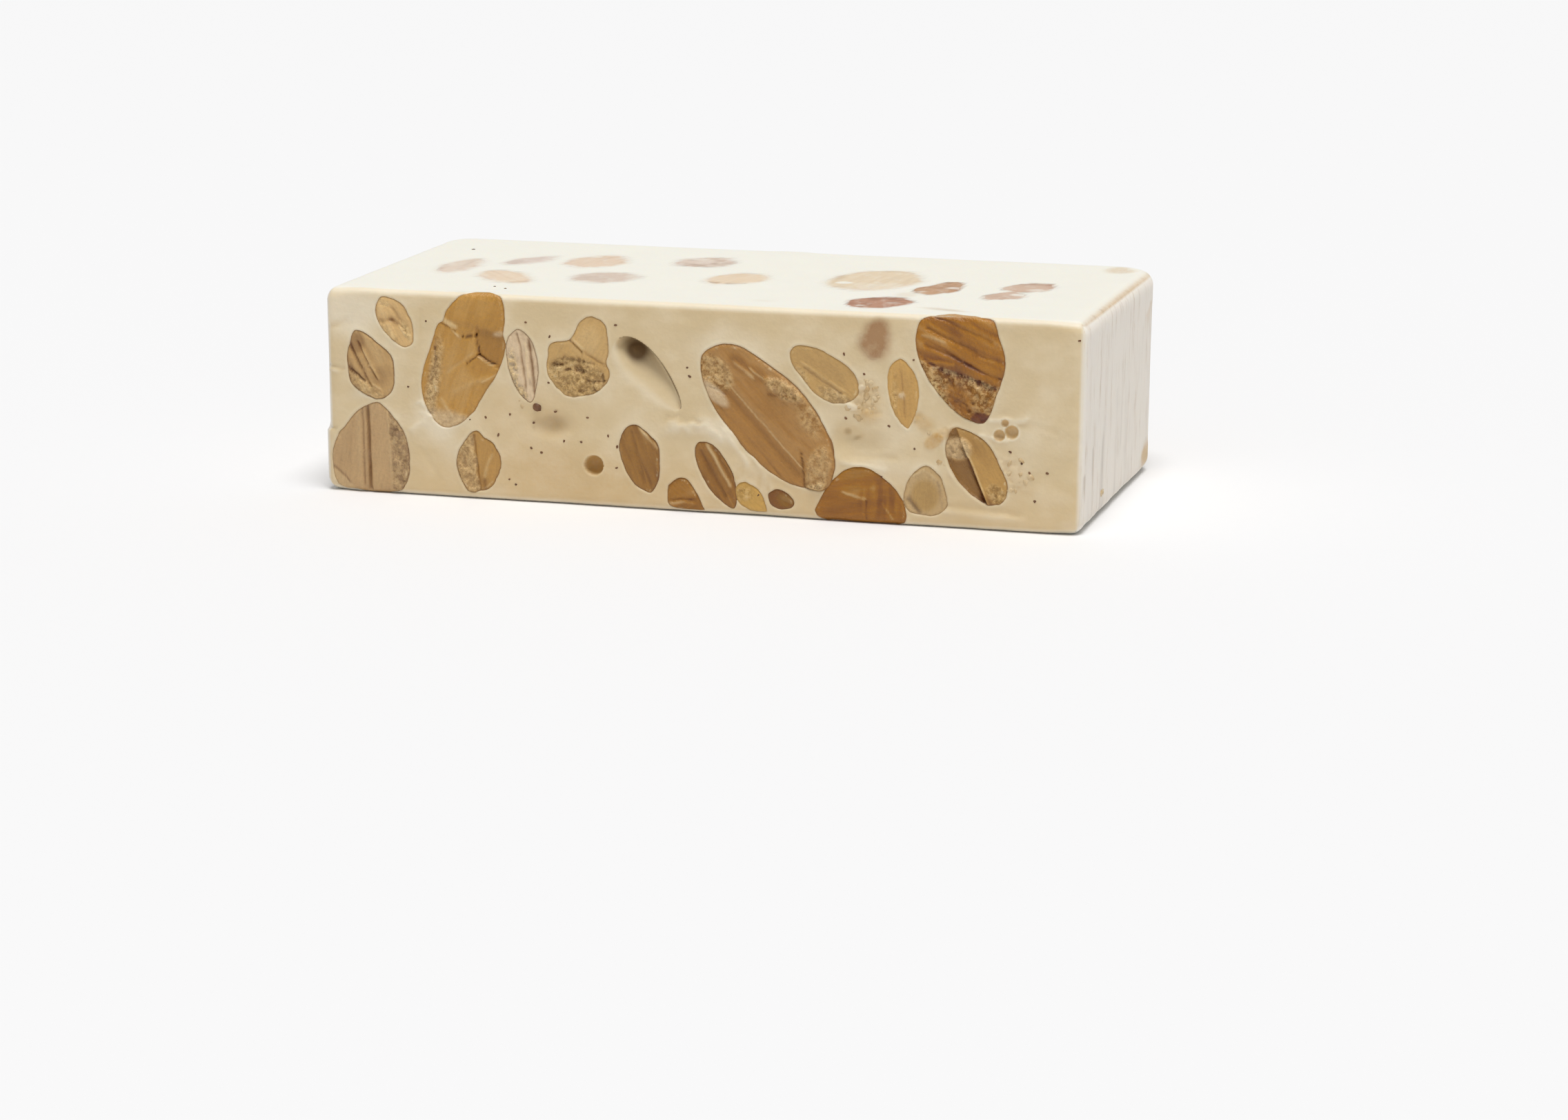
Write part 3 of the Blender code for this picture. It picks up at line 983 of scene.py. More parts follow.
class Bench:
    """A material being made: its Principled shader, and the one way that other nodes are added."""

    def __init__(self, name: str) -> None:
        """Starts a material with a bare Principled shader.

        Args:
            name: The material's name.
        """
        self.material = bpy.data.materials.new(name)
        self.material.use_nodes = True
        self.tree = self.material.node_tree
        self.shader = self.tree.nodes["Principled BSDF"]

    def feed(self, socket: bpy.types.NodeSocket, term: Term) -> None:
        """Links a wire to a socket, or sets the socket's own value.

        Args:
            socket: The input socket.
            term: The wire, number or colour.
        """
        if isinstance(term, Wire):
            self.tree.links.new(term.socket, socket)
        elif socket.type == "RGBA":
            socket.default_value = (*term, 1.0)
        else:
            socket.default_value = term

    def node(self, kind: str, settings: dict, inputs: dict, output: Union[int, str] = 0) -> Wire:
        """Adds a node.

        Args:
            kind: Blender's name for the type of node.
            settings: The node's own settings, which are set first.
            inputs: A value or a wire for each named or numbered input.
            output: The output that is wanted.

        Returns:
            The wire from that output.
        """
        node = self.tree.nodes.new(kind)
        for name, value in settings.items():
            setattr(node, name, value)
        for name, term in inputs.items():
            self.feed(node.inputs[name], term)
        return Wire(self, node.outputs[output])

    def maths(self, operation: str, *terms: Term) -> Wire:
        """The result of a Math node on one to three terms."""
        return self.node("ShaderNodeMath", {"operation": operation}, dict(enumerate(terms)))

    def mix(self, share: Term, first: Term, second: Term, blend: str = "MIX") -> Wire:
        """A colour that goes from the first to the second as share goes from 0 to 1."""
        settings = {"data_type": "RGBA", "blend_type": blend}
        return self.node("ShaderNodeMix", settings, {0: share, 6: first, 7: second}, 2)

    def amount(self, name: str) -> Wire:
        """The mesh's attribute of one value for each vertex."""
        return self.node("ShaderNodeAttribute", {"attribute_name": name}, {}, "Fac")

    def vector(self, name: str) -> Wire:
        """The mesh's attribute of one vector for each vertex."""
        return self.node("ShaderNodeAttribute", {"attribute_name": name}, {}, "Vector")

    def places(self, per_mm: tuple, source: Optional[Wire] = None) -> Wire:
        """Coordinates scaled so that a pattern of scale 1 has the wanted grain.

        Args:
            per_mm: How many grains a millimetre holds along each axis.
            source: Coordinates in millimetres; the block's own places if it is left out.

        Returns:
            The scaled coordinates.
        """
        to_mm = 1.0 if source else 1.0 / MM
        source = source or self.node("ShaderNodeTexCoord", {}, {}, "Object")
        scale = tuple(count * to_mm for count in per_mm)
        return self.node("ShaderNodeVectorMath", {"operation": "MULTIPLY"}, {0: source, 1: scale})

    def noise(self, places: Wire, detail: float = 2.0, roughness: float = 0.5) -> Wire:
        """Noise of about -1 to 1."""
        inputs = {"Vector": places, "Scale": 1.0, "Detail": detail, "Roughness": roughness}
        return (self.node("ShaderNodeTexNoise", {}, inputs) - NOISE_MIDDLE) * NOISE_GAIN

    def shine(self, share: Wire, colour: Wire) -> Wire:
        """A colour made brighter or darker by a share of itself."""
        return self.node("ShaderNodeVectorMath", {"operation": "SCALE"}, {0: colour, "Scale": share + 1.0})

    def finish(self, colour: Term, roughness: Term, height: Wire, **constants: Term) -> bpy.types.Material:
        """Joins the colour, roughness and relief to the shader.

        Args:
            colour: The base colour.
            roughness: The roughness.
            height: The relief that is too fine for the mesh, in millimetres.
            constants: Values for the shader's other sockets, by name with _ for each space.

        Returns:
            The material.
        """
        bump = self.node("ShaderNodeBump", {}, {"Height": height, "Distance": MM, "Strength": 1.0})
        self.feed(self.shader.inputs["Base Color"], colour)
        self.feed(self.shader.inputs["Roughness"], roughness)
        self.feed(self.shader.inputs["Normal"], bump)
        for name, value in constants.items():
            self.feed(self.shader.inputs[name.replace("_", " ")], value)
        return self.material


@dataclass(frozen=True)
class NougatFinish:
    """Nougat: waxy and a little yellow where it is cut, whiter and smooth on top, chalky at the ends."""

    cut: Colour = (0.725, 0.566, 0.33)
    pressed: Colour = (0.90, 0.875, 0.775)
    chalky: Colour = (0.90, 0.835, 0.745)
    streak: Colour = (0.62, 0.50, 0.38)
    pale: Colour = (0.86, 0.75, 0.56)
    # the colour of golden stains, which also tints the painted shade in pits and the hollow
    stain_and_warm_shade: Colour = (0.60, 0.36, 0.12)
    shadow: Colour = (0.12, 0.06, 0.02)
    dot: Colour = (0.60, 0.46, 0.30)
    roughness: float = 0.5
    see_in: float = 0.12

    def make(self) -> bpy.types.Material:
        """Makes the finish of the nougat, and of what shows through a film of it.

        Returns:
            The material.
        """
        bench = Bench("nougat")
        cut, chalk = bench.amount("cut"), bench.amount("chalk")
        mottle = bench.noise(bench.places((0.22, 0.22, 0.3)), 3.0)
        grain = bench.noise(bench.places((2.2, 2.2, 2.2)), 3.0)
        streaks = bench.noise(bench.places((0.9, 1.2, 0.12)), 5.0, 0.75)
        colour = bench.mix(cut, self.pressed, bench.mix(mottle.step(-0.3, 0.7) * 0.35, self.cut, self.pale))
        colour = bench.mix(chalk, colour, self.chalky)
        colour = bench.mix(streaks.step(0.0, 0.7) * chalk * 0.75, colour, self.streak)
        dots = bench.noise(bench.places((1.3, 1.3, 0.4)), 4.0, 0.7)
        colour = bench.mix(dots.step(0.35, 0.95) * chalk * 0.75, colour, self.dot)
        tone = bench.amount("tone")
        # Positive tone mixes in pale: paler nougat, and painted highlights on lips, rims and the front's top
        # edge. Negative tone mixes in shadow: darker nougat, and painted shade in pits, dents and the hollow.
        colour = bench.mix(tone.step(0.0, 1.0) * 0.85, colour, self.pale)
        colour = bench.mix(tone.step(0.0, -1.0) * 0.95, colour, self.shadow)
        colour = bench.mix(bench.amount("crumb") * (grain * 0.3 + 0.7), colour, self.stain_and_warm_shade)
        show = bench.amount("show") * (bench.noise(bench.places((0.9, 0.5, 0.9)), 4.0, 0.6) * 0.5 + 1.0)
        colour = bench.mix(show.maths("MINIMUM", 1.0), colour, bench.vector("flesh"))
        colour = bench.shine(mottle * (cut * 0.03 + 0.015) + grain * (cut * 0.012 + 0.008), colour)
        height = grain * (cut * 0.012 + 0.004) + streaks * chalk * 0.05
        height += bench.noise(bench.places((0.6, 0.6, 0.9)), 2.0) * cut * 0.02
        roughness = chalk * 0.3 + self.roughness + grain * 0.05
        return bench.finish(
            colour,
            roughness,
            height,
            Subsurface_Weight=self.see_in,
            Subsurface_Radius=(1.0, 0.7, 0.4),
            Subsurface_Scale=1.2 * MM,
        )


@dataclass(frozen=True)
class FleshFinish:
    """An almond's cut flesh, with its dark skin at the rim, crumbs, films of nougat drawn over it, and
    painted highlights.
    """

    flesh: Flesh
    roughness: float = 0.4
    fibre: float = 0.13
    skin: Colour = (0.17, 0.075, 0.025)
    film: Colour = (0.75, 0.58, 0.36)
    crumb: Colour = (0.88, 0.62, 0.28)
    # the colour of the painted highlights on crumbled flesh and just inside the rim
    glint: Colour = (0.95, 0.79, 0.49)

    def make(self) -> bpy.types.Material:
        """Makes the finish of one kind of almond flesh.

        Returns:
            The material.
        """
        bench = Bench(self.flesh.value)
        along = bench.vector("grain")
        fibres = bench.noise(bench.places((0.5, 3.2, 1.0), along), 4.0, 0.6)
        speck = bench.noise(bench.places((3.0, 3.0, 3.0)), 3.0, 0.65)
        blotch = bench.noise(bench.places((0.5, 0.5, 0.5)), 2.0)
        lumps = bench.noise(bench.places((1.5, 1.5, 1.5)), 3.0, 0.7)
        inside, crumb, film = bench.amount("inside"), bench.amount("crumb"), bench.amount("film")
        colour = bench.shine(fibres * self.fibre + speck * 0.1 + blotch * 0.07, bench.vector("flesh"))
        broken = bench.mix(lumps.step(-0.3, 0.3), bench.shine(speck * 0.2 - 0.36, colour), self.crumb)
        # painted highlights on the crumbled flesh's lumps
        broken = bench.mix(lumps.step(0.25, 0.6) * 0.9, broken, self.glint)
        colour = bench.mix(crumb * (blotch * 0.25 + 0.75), colour, broken)
        colour = bench.mix(film * (speck * 0.25 + 0.8), colour, self.film)
        inward = inside + speck * 0.05 + blotch * 0.05
        # a broken band of painted highlight just inside the rim
        glint_breaks = bench.noise(bench.places((0.7, 0.7, 0.7)), 4.0, 0.7).step(0.1, 0.7)
        glint = inward.step(0.24, 0.36) * inward.step(0.62, 0.42) * glint_breaks * 0.5
        colour = bench.mix(glint, colour, self.glint)
        edge = inward.step(0.31, 0.1) * bench.amount("skin") * (blotch * 0.5 + 0.85)
        colour = bench.mix(edge.maths("MINIMUM", 0.92), colour, self.skin)
        height = fibres * 0.04 + speck * 0.025 + lumps * (crumb * 0.16 + 0.03) + glint * 0.06
        roughness = crumb * 0.15 + self.roughness + film * 0.05 + speck * 0.06
        return bench.finish(colour, roughness, height, Subsurface_Weight=0.06, Subsurface_Scale=0.8 * MM,
                            Subsurface_Radius=(1.0, 0.6, 0.3))


@dataclass(frozen=True)
class BitFinish:
    """Loose bits of almond in the nougat: crumbs of flesh, or flecks of skin."""

    name: str
    light: Colour
    dark: Colour

    def make(self) -> bpy.types.Material:
        """Makes the finish of one kind of bit.

        Returns:
            The material.
        """
        bench = Bench(self.name)
        blotch = bench.noise(bench.places((0.8, 0.8, 0.8)), 3.0)
        speck = bench.noise(bench.places((4.0, 4.0, 4.0)), 3.0)
        colour = bench.shine(speck * 0.15, bench.mix(blotch.step(-0.5, 0.5), self.light, self.dark))
        return bench.finish(colour, 0.55, speck * 0.03)


# How much of the studio's light each side gets, and how much of it comes back as gloss.
SIDE_LIGHT = {
    Side.FRONT: (0.83, 0.042),
    Side.BACK: (0.74, 0.024),
    Side.TOP: (0.99, 0.006),
    Side.FOOT: (0.74, 0.024),
    Side.RIGHT: (0.74, 0.024),
    Side.LEFT: (0.74, 0.024),
}


def in_studio(side: Side, seen: tuple[int, int, int]) -> np.ndarray:
    """The surface colour that looks as wanted on a side.

    Args:
        side: The side that the surface is on.
        seen: The wanted look as red, green and blue from 0 to 255.

    Returns:
        The linear surface colour.
    """
    light, gloss = SIDE_LIGHT[side]
    return (((np.array(seen) / 255.0 + 0.055) / 1.055) ** 2.4 - gloss) / light


def numbered(side: Side, almonds: tuple[Almond, ...]) -> tuple[Almond, ...]:
    """Names the almonds of one side by their place in the row.

    Args:
        side: The side.
        almonds: The almonds, without side or name.

    Returns:
        The almonds with both.
    """
    return tuple(
        replace(almond, side=side, name=f"almond_{side.value}_{place:02d}")
        for place, almond in enumerate(almonds, start=1)
    )


def veiled(*sizes: float, **look: Union[float, tuple]) -> Almond:
    """An almond that is seen through a film of nougat."""
    return Almond(*sizes, flesh=Flesh.VEILED, **look)


FRONT_ALMONDS = numbered(Side.FRONT, (
    Almond(-35.98, 20.29, 6.82, 3.95, -57, 2.4, tint=(210, 175, 124), skin=0.6, marks=(
        Groove(-38.2, 20.4, -36.4, 20.6, 0.3, 0.12, -0.55),
        Groove(-36.4, 20.6, -34.8, 19.4, 0.35, 0.14, -0.7),
        # a painted highlight along a ridge
        Groove(-35.6, 19.9, -34.9, 18.9, 0.14, -0.12, 1.0),
        Groove(-37.6, 22.0, -36.2, 18.4, 0.35, -0.1, 0.4, 0.3),
        spot(-34.7, 19.4, 2.4, 0.7, -65, 0.2, crumb=0.9, tone=0.4, rough=0.1),
        Groove(-36.4, 22.0, -34.6, 19.9, 0.2, 0.12, -0.5, 0.3),
        Groove(-38.3, 22.2, -38.4, 20.0, 0.16, 0.08, -0.6),
        spot(-36.6, 18.6, 4.6, 1.0, -50, crumb=0.4, rough=0.06, tone=0.1),
        spot(-37.3, 22.4, 1.6, 0.6, -20, 0.2, crumb=0.5, tone=0.5, rough=0.05),
    )),
    Almond(-39.24, 15.16, 8.8, 5.2, -65, 2.4, -0.15, flesh=Flesh.GREY,
           tint=(190, 156, 110), skin=1.0, bumps=((20, 0.3, 30), (175, 0.5, 30), (-140, 0.8, 26)), marks=(
        Fibres(-62, 0.9, 0.1, -0.7),
        Groove(-41.81, 17.53, -39.24, 12.59, 0.16, 0.25, -0.9),
        Groove(-40.82, 17.83, -38.45, 13.58, 0.12, 0.15, -0.7),
        Groove(-40.22, 17.04, -38.25, 13.68, 0.18, -0.08, 0.5),
        spot(-41.0, 17.6, 2.4, 2.0, -60, tone=-0.6, height=-0.1),
        spot(-37.9, 13.9, 2.6, 2.0, 60, 0.6, tone=-0.4),
        Patch((LeftOf(-38.6, 12.4, -42.2, 14.6, 0.1, 0.15),), crumb=0.45, tone=0.3, rough=0.07, height=0.1),
        Groove(-42.0, 14.7, -39.9, 13.2, 0.12, 0.25, -1.1),
        Groove(-39.8, 13.3, -38.0, 12.3, 0.12, -0.1, 0.8),
    )),
    Almond(-39.33, 4.59, 12.65, 9.78, 80, 4.0, taper=0.22, tint=(187, 156, 117), skin=0.6, marks=(
        Groove(-39.73, 10.71, -39.53, 0.24, 0.2, 0.35, -0.9, 0.05),
        Groove(-40.37, 10.02, -40.22, 1.03, 0.12, 0.12, -0.6, 0.05),
        Groove(-40.92, 9.63, -40.72, 0.84, 0.3, -0.1, 0.2, 0.05),
        Groove(-37.16, 9.92, -36.77, 0.54, 0.16, -0.12, 0.35, 0.1),
        Patch((LeftOf(-37.06, 9.92, -36.57, 0.24, 0.15),), crumb=0.4, rough=0.2, tone=-0.65, film=0.12),
        Patch((LeftOf(-39.43, 10.12, -39.43, 0.24, 0.3),), tone=0.05),
        Groove(-43.98, 3.01, -42.0, 1.13, 0.12, 0.12, -0.8),
        Patch((LeftOf(-41.8, 0.74, -44.17, 3.11, 0.1),), height=-0.1, tone=0.45),
    )),
    Almond(-27.57, 16.5, 17.8, 8.89, 70, 4.6, -0.12, 0.05, flesh=Flesh.GOLDEN,
           tint=(185, 141, 81), skin=0.45,
           bumps=((-150, 0.5, 30), (-60, -0.3, 30), (121, -0.4, 6), (32, -0.4, 8)), marks=(
        spot(-26.0, 15.6, 3.6, 2.0, -20, 0.7, tone=-0.3),
        spot(-23.3, 19.5, 1.4, 0.6, 10, 0.15, film=0.7, height=0.06),
        Groove(-30.3, 21.2, -28.6, 20.1, 0.24, -0.1, 1.0, 0.1),
        Groove(-30.6, 20.7, -28.6, 19.7, 0.1, 0.14, -0.8, 0.25),
        Groove(-31.0, 18.6, -31.6, 13.4, 0.14, 0.1, -0.45, 0.3),
        Patch((LeftOf(-30.34, 21.18, -23.23, 19.31, 0.1),), height=0.14, tone=-0.12),
        Patch((LeftOf(-26.09, 19.4, -25.89, 15.06, 0.1), LeftOf(-23.23, 19.31, -30.34, 21.18, 0.1),
               LeftOf(-25.89, 16.94, -23.23, 15.35, 0.1)), height=-0.16, tone=-0.4),
        Patch((LeftOf(-23.23, 15.35, -25.89, 16.94, 0.1), LeftOf(-25.89, 16.94, -29.25, 8.14, 0.1)),
              height=0.08, tone=0.05),
        Groove(-30.34, 21.28, -28.07, 18.91, 0.14, -0.1, 0.9),
        Groove(-28.07, 18.91, -26.19, 19.21, 0.1, 0.3, -0.9),
        Groove(-26.19, 19.21, -25.89, 16.94, 0.1, 0.35, -0.9),
        Groove(-25.89, 16.94, -23.13, 15.45, 0.1, 0.3, -0.7),
        Groove(-25.89, 16.74, -23.13, 15.26, 0.09, -0.1, 0.8),
        Groove(-25.89, 16.94, -27.28, 15.85, 0.1, 0.2, -0.7),
        Groove(-30.63, 11.6, -29.25, 9.72, 0.14, -0.08, 0.7),
        spot(-28.76, 14.47, 9.0, 4.6, 72, 1.6, tone=0.22),
        spot(-26.78, 22.5, 6.0, 3.4, 10, 0.8, tone=0.22),
        spot(-31.62, 12.6, 11.0, 1.5, 80, 0.4, crumb=0.9, film=0.25, rough=0.16, tone=0.1),
        spot(-29.15, 9.0, 7.0, 2.2, -12, 0.5, crumb=0.4, film=0.7, rough=0.08),
        Groove(-31.2, 17.6, -30.9, 12.0, 0.12, 0.1, -0.5),
        Groove(-29.6, 14.8, -26.6, 17.0, 0.2, 0.06, 0.25),
        Groove(-28.9, 12.6, -24.8, 14.6, 0.3, -0.07, 0.2),
        Groove(-25.4, 13.9, -23.6, 14.7, 0.14, -0.1, 0.7),
    )),
    Almond(-20.5, 16.0, 8.8, 3.9, -80, 2.0, flesh=Flesh.GREY, tint=(216, 192, 160), skin=0.75, marks=(
        Patch(rough=0.07, grain=0.7, film=0.12),
        spot(-21.7, 15.5, 4.4, 1.1, -84, 0.25, crumb=0.95, rough=0.25, tone=0.4),
        Groove(-21.2, 19.6, -20.2, 13.4, 0.14, 0.16, -0.7, 0.3),
        Groove(-20.3, 18.6, -19.9, 14.6, 0.12, -0.12, 0.9, 0.3),
        Groove(-19.8, 19.0, -19.1, 12.9, 0.16, 0.2, -1.2),
        spot(-20.9, 12.8, 2.4, 1.5, -60, crumb=0.9, tone=-0.3, rough=0.12),
    )),
    Almond(-13.35, 17.24, 9.9, 7.0, 64, 3.0, 0.2, broken=0.03, flesh=Flesh.GOLDEN,
           tint=(196, 161, 109), skin=0.55, ragged=0.16,
           bumps=((124, -0.7, 26), (160, 0.6, 14), (82, 0.4, 20), (-35, 0.4, 25), (-8, -0.4, 14),
                  (-150, 0.3, 30)), marks=(
        spot(-14.14, 14.97, 7.0, 4.6, -12, 0.4, crumb=0.65, rough=0.26, tone=-0.05, height=-0.08),
        spot(-12.6, 19.2, 3.6, 2.6, 70, 0.5, tone=0.25, height=0.1),
        Groove(-15.4, 15.7, -12.6, 15.6, 0.16, 0.2, -0.9, 0.3),
        Groove(-12.8, 14.7, -10.6, 14.7, 0.12, 0.2, -0.9, 0.25),
        Groove(-13.6, 13.3, -11.6, 13.5, 0.12, 0.15, -0.8, 0.2),
        Groove(-11.8, 14.7, -11.9, 13.6, 0.12, 0.2, -0.9, 0.2),
        spot(-16.3, 16.4, 1.3, 0.5, 0, 0.12, height=-0.5, tone=-1.4),
        spot(-16.3, 15.9, 1.2, 0.35, 0, 0.1, height=0.1, tone=0.9),
        spot(-13.64, 15.86, 1.4, 0.5, -20, 0.15, height=-0.35, tone=-1.0),
        Groove(-10.88, 15.46, -10.78, 13.68, 0.14, 0.3, -1.0),
        Groove(-14.93, 20.01, -13.15, 18.13, 0.14, -0.12, 0.7),
        Groove(-15.13, 19.71, -13.35, 17.83, 0.1, 0.2, -0.8),
        Groove(-13.25, 18.03, -10.39, 16.45, 0.16, 0.14, -0.6),
        Groove(-15.52, 17.24, -11.97, 16.65, 0.2, 0.12, -0.5),
        Patch((LeftOf(-15.92, 19.02, -10.98, 16.65, 0.3),), tone=0.15),
    )),
    Almond(-6.45, 5.85, 8.3, 4.74, -73, 2.6, flesh=Flesh.BROWN,
           tint=(157, 118, 73), skin=1.0, bumps=((50, 0.25, 30), (-100, -0.15, 20)), marks=(
        Fibres(-70, 0.55, 0.05, -0.45),
        Groove(-7.42, 9.13, -6.04, 3.2, 0.25, 0.1, -0.35),
        Groove(-6.43, 9.53, -4.45, 7.35, 0.2, -0.1, 0.8),
        spot(-4.94, 4.78, 5.0, 1.6, -80, 0.6, tone=-0.3),
    )),
    Almond(-26.1, 4.29, 7.1, 5.6, 85, 2.6, broken=0.04,
           tint=(182, 143, 90), skin=0.8, ragged=0.16, bumps=((100, 0.4, 20),), marks=(
        Patch((LeftOf(-25.89, 0.74, -26.68, 7.55, 0.15),), rough=0.2, tone=0.0, film=0.25, crumb=0.6),
        Groove(-26.68, 7.55, -25.89, 0.74, 0.14, 0.2, -0.5),
        Groove(-24.41, 5.38, -25.4, 2.81, 0.2, -0.08, 0.5),
        Groove(-25.4, 2.22, -25.2, 0.64, 0.3, 0.12, -0.7),
    )),
    Almond(-1.0, 1.5, 5.3, 3.5, -34, 1.8, taper=0.45, sharp=0.3, flesh=Flesh.BROWN,
           tint=(161, 117, 66), skin=0.7, bumps=((100, 0.3, 30),), marks=(
        Fibres(30, 0.7, 0.06, -0.4),
        Groove(-2.9, 1.4, -0.4, 1.5, 0.16, 0.1, -0.5),
        Groove(-2.9, 1.0, -0.2, 1.1, 0.16, -0.08, 0.6),
    )),
    Almond(2.7, 4.6, 8.8, 3.7, -61, 2.2, flesh=Flesh.BROWN, tint=(156, 115, 70), skin=1.0, marks=(
        Groove(1.58, 7.95, 4.34, 3.41, 0.2, -0.1, 0.9),
        Groove(2.37, 7.56, 4.94, 3.21, 0.28, 0.16, -0.45),
        Groove(0.89, 7.16, 3.75, 2.22, 0.26, 0.14, -0.5),
        Fibres(-61, 0.5, 0.04, -0.4),
    )),
    Almond(8.89, 11.51, 20.95, 9.68, -46, 4.4, 0.04, 0.02, flesh=Flesh.BROWN,
           tint=(168, 126, 79), skin=0.7, marks=(
        Groove(3.35, 14.77, 12.34, 5.19, 0.4, 0.16, -0.32, 0.1),
        Groove(2.27, 13.49, 10.37, 4.6, 0.18, 0.1, -0.3, 0.1),
        Groove(3.95, 15.26, 12.94, 5.78, 0.1, -0.08, 0.7, 0.1),
        Groove(3.06, 12.7, 10.76, 4.0, 0.12, -0.05, 0.25, 0.1),
        Patch((LeftOf(3.85, 15.66, 13.13, 5.78, 0.15),), height=0.1, tone=0.12),
        spot(8.79, 13.09, 7.0, 2.8, -44, 1.0, tone=-0.1),
        spot(2.37, 13.98, 4.2, 1.5, -40, 0.2, film=0.85, height=0.14),
        Groove(1.2, 15.0, 3.6, 13.9, 0.12, 0.12, -0.8),
        spot(2.56, 16.35, 4.8, 3.2, -42, crumb=0.6, rough=0.2, tone=0.25),
        spot(10.66, 14.77, 4.6, 1.9, -25, 0.25, crumb=0.6, rough=0.3, height=0.28, tone=0.35),
        Groove(8.8, 14.2, 12.0, 13.9, 0.14, 0.12, -0.7),
        spot(13.6, 11.6, 4.6, 2.2, -60, 0.4, crumb=0.35, tone=0.15, rough=0.06),
        spot(14.71, 5.78, 5.6, 2.8, 75, 0.25, crumb=0.35, rough=0.14, height=0.22, tone=0.3),
        spot(7.4, 16.4, 2.6, 1.6, -30, 0.4, tone=-0.35),
        Groove(6.6, 17.0, 8.2, 15.9, 0.12, -0.12, 0.9),
        Groove(12.74, 7.95, 13.13, 3.21, 0.1, 0.2, -0.8),
        spot(13.73, 3.11, 4.0, 1.6, 30, crumb=0.6, rough=0.12, film=0.15),
        Groove(4.84, 17.63, 7.01, 16.05, 0.22, -0.1, 0.9),
        spot(5.43, 17.54, 2.6, 1.4, -40, tone=-0.6),
    )),
    Almond(15.3, 16.8, 8.9, 4.9, -36, 2.2, -0.14, 0.02, flesh=Flesh.GOLDEN,
           tint=(188, 151, 95), skin=0.35, bumps=((155, 0.3, 35), (-20, 0.3, 20)), marks=(
        Patch(film=0.16),
        spot(15.31, 16.84, 6.6, 2.4, -36, 0.4, tone=-0.12, height=-0.05),
        Groove(12.64, 18.03, 17.58, 14.97, 0.14, -0.06, 0.45),
        Groove(12.94, 17.44, 17.28, 14.67, 0.14, 0.08, -0.35),
        spot(17.08, 13.88, 5.0, 1.7, -28, crumb=0.6, rough=0.16, film=0.1),
        spot(12.64, 16.25, 2.4, 1.4, -60, crumb=0.5, rough=0.12),
    )),
    Almond(24.49, 15.0, 8.1, 3.7, -82, 2.4, 0.25, 0.25, flesh=Flesh.GOLDEN,
           tint=(200, 157, 91), skin=0.2, ragged=0.16, marks=(
        Patch(film=0.16),
        spot(23.4, 14.2, 5.6, 0.8, 88, 0.2, crumb=0.5, rough=0.06),
        spot(24.49, 14.67, 6.0, 1.9, -82, 0.6, tone=-0.25),
        # a painted highlight, drawn with the film's colour
        spot(24.29, 14.87, 0.7, 0.6, 0, 0.15, film=0.9, height=0.12),
        Groove(24.2, 17.63, 24.69, 12.3, 0.12, 0.06, -0.35),
    )),
    Almond(31.2, 18.92, 14.23, 9.09, -71, 4.6, taper=0.16, flesh=Flesh.BROWN, tint=(171, 121, 63), skin=0.6,
           bumps=((160, 0.4, 30), (-40, -0.15, 20), (10, 0.5, 35), (58, 0.6, 16)), marks=(
        Fibres(-24, 0.8, 0.12, -0.6, (LeftOf(26.08, 18.62, 36.45, 14.67, 0.4),)),
        Fibres(-28, 0.45, 0.05, -0.4),
        Groove(27.17, 22.57, 35.07, 19.02, 0.22, 0.2, -0.5),
        Groove(26.97, 20.79, 35.86, 17.04, 0.22, 0.22, -0.6),
        Groove(28.16, 23.95, 34.48, 21.39, 0.2, 0.18, -0.5),
        spot(30.92, 17.83, 9.0, 2.4, -22, 0.6, tone=-0.5),
        Patch((LeftOf(36.45, 15.8, 26.08, 18.92, 0.2, 0.5),), crumb=0.65, rough=0.24, grain=0.5, tone=-0.28),
        spot(31.0, 14.7, 4.6, 2.6, -62, 0.6, crumb=-0.55, tone=0.05),
        spot(30.9, 19.0, 3.6, 3.4, -30, 1.0, tone=-0.3),
        spot(28.2, 23.0, 3.2, 1.8, -20, 0.6, tone=0.12),
        Groove(32.4, 17.0, 35.6, 16.0, 0.14, 0.2, -0.9),
        Groove(26.8, 19.1, 27.8, 18.5, 0.2, 0.15, -0.9),
        Groove(28.8, 18.0, 30.6, 17.6, 0.18, 0.15, -0.8),
        Groove(26.6, 21.8, 29.2, 21.1, 0.16, -0.08, 0.5),
        Groove(33.0, 19.5, 35.1, 19.0, 0.14, -0.08, 0.5),
        Groove(32.4, 18.6, 35.2, 17.4, 0.14, -0.08, 0.5),
        Fibres(-20, 0.8, 0.12, -0.7, (LeftOf(36.45, 14.97, 26.08, 18.92, 0.3),), 3),
        Groove(26.58, 18.92, 30.13, 18.62, 0.2, -0.1, 0.8),
        spot(33.6, 12.3, 2.8, 2.1, -20, 0.15, tone=-0.9, crumb=-0.8, height=-0.08),
        spot(29.34, 13.98, 7.0, 0.9, -60, 0.2, crumb=0.4, tone=0.5),
        Patch((LeftOf(25.59, 24.25, 37.44, 24.25, 0.2),), film=0.45),
    )),
    Almond(32.9, 7.16, 10.08, 5.53, -56, 2.8, flesh=Flesh.GOLDEN,
           tint=(186, 148, 94), skin=0.8, bumps=((-32, 0.5, 22),), marks=(
        Patch((LeftOf(34.28, 2.82, 31.52, 9.34, 0.1, 0.1),), height=-0.5, tone=-0.75),
        Groove(31.76, 9.34, 34.48, 3.01, 0.1, -0.06, 0.9, 0.05),
        Groove(31.42, 9.14, 34.18, 3.01, 0.12, 0.3, -1.0, 0.05),
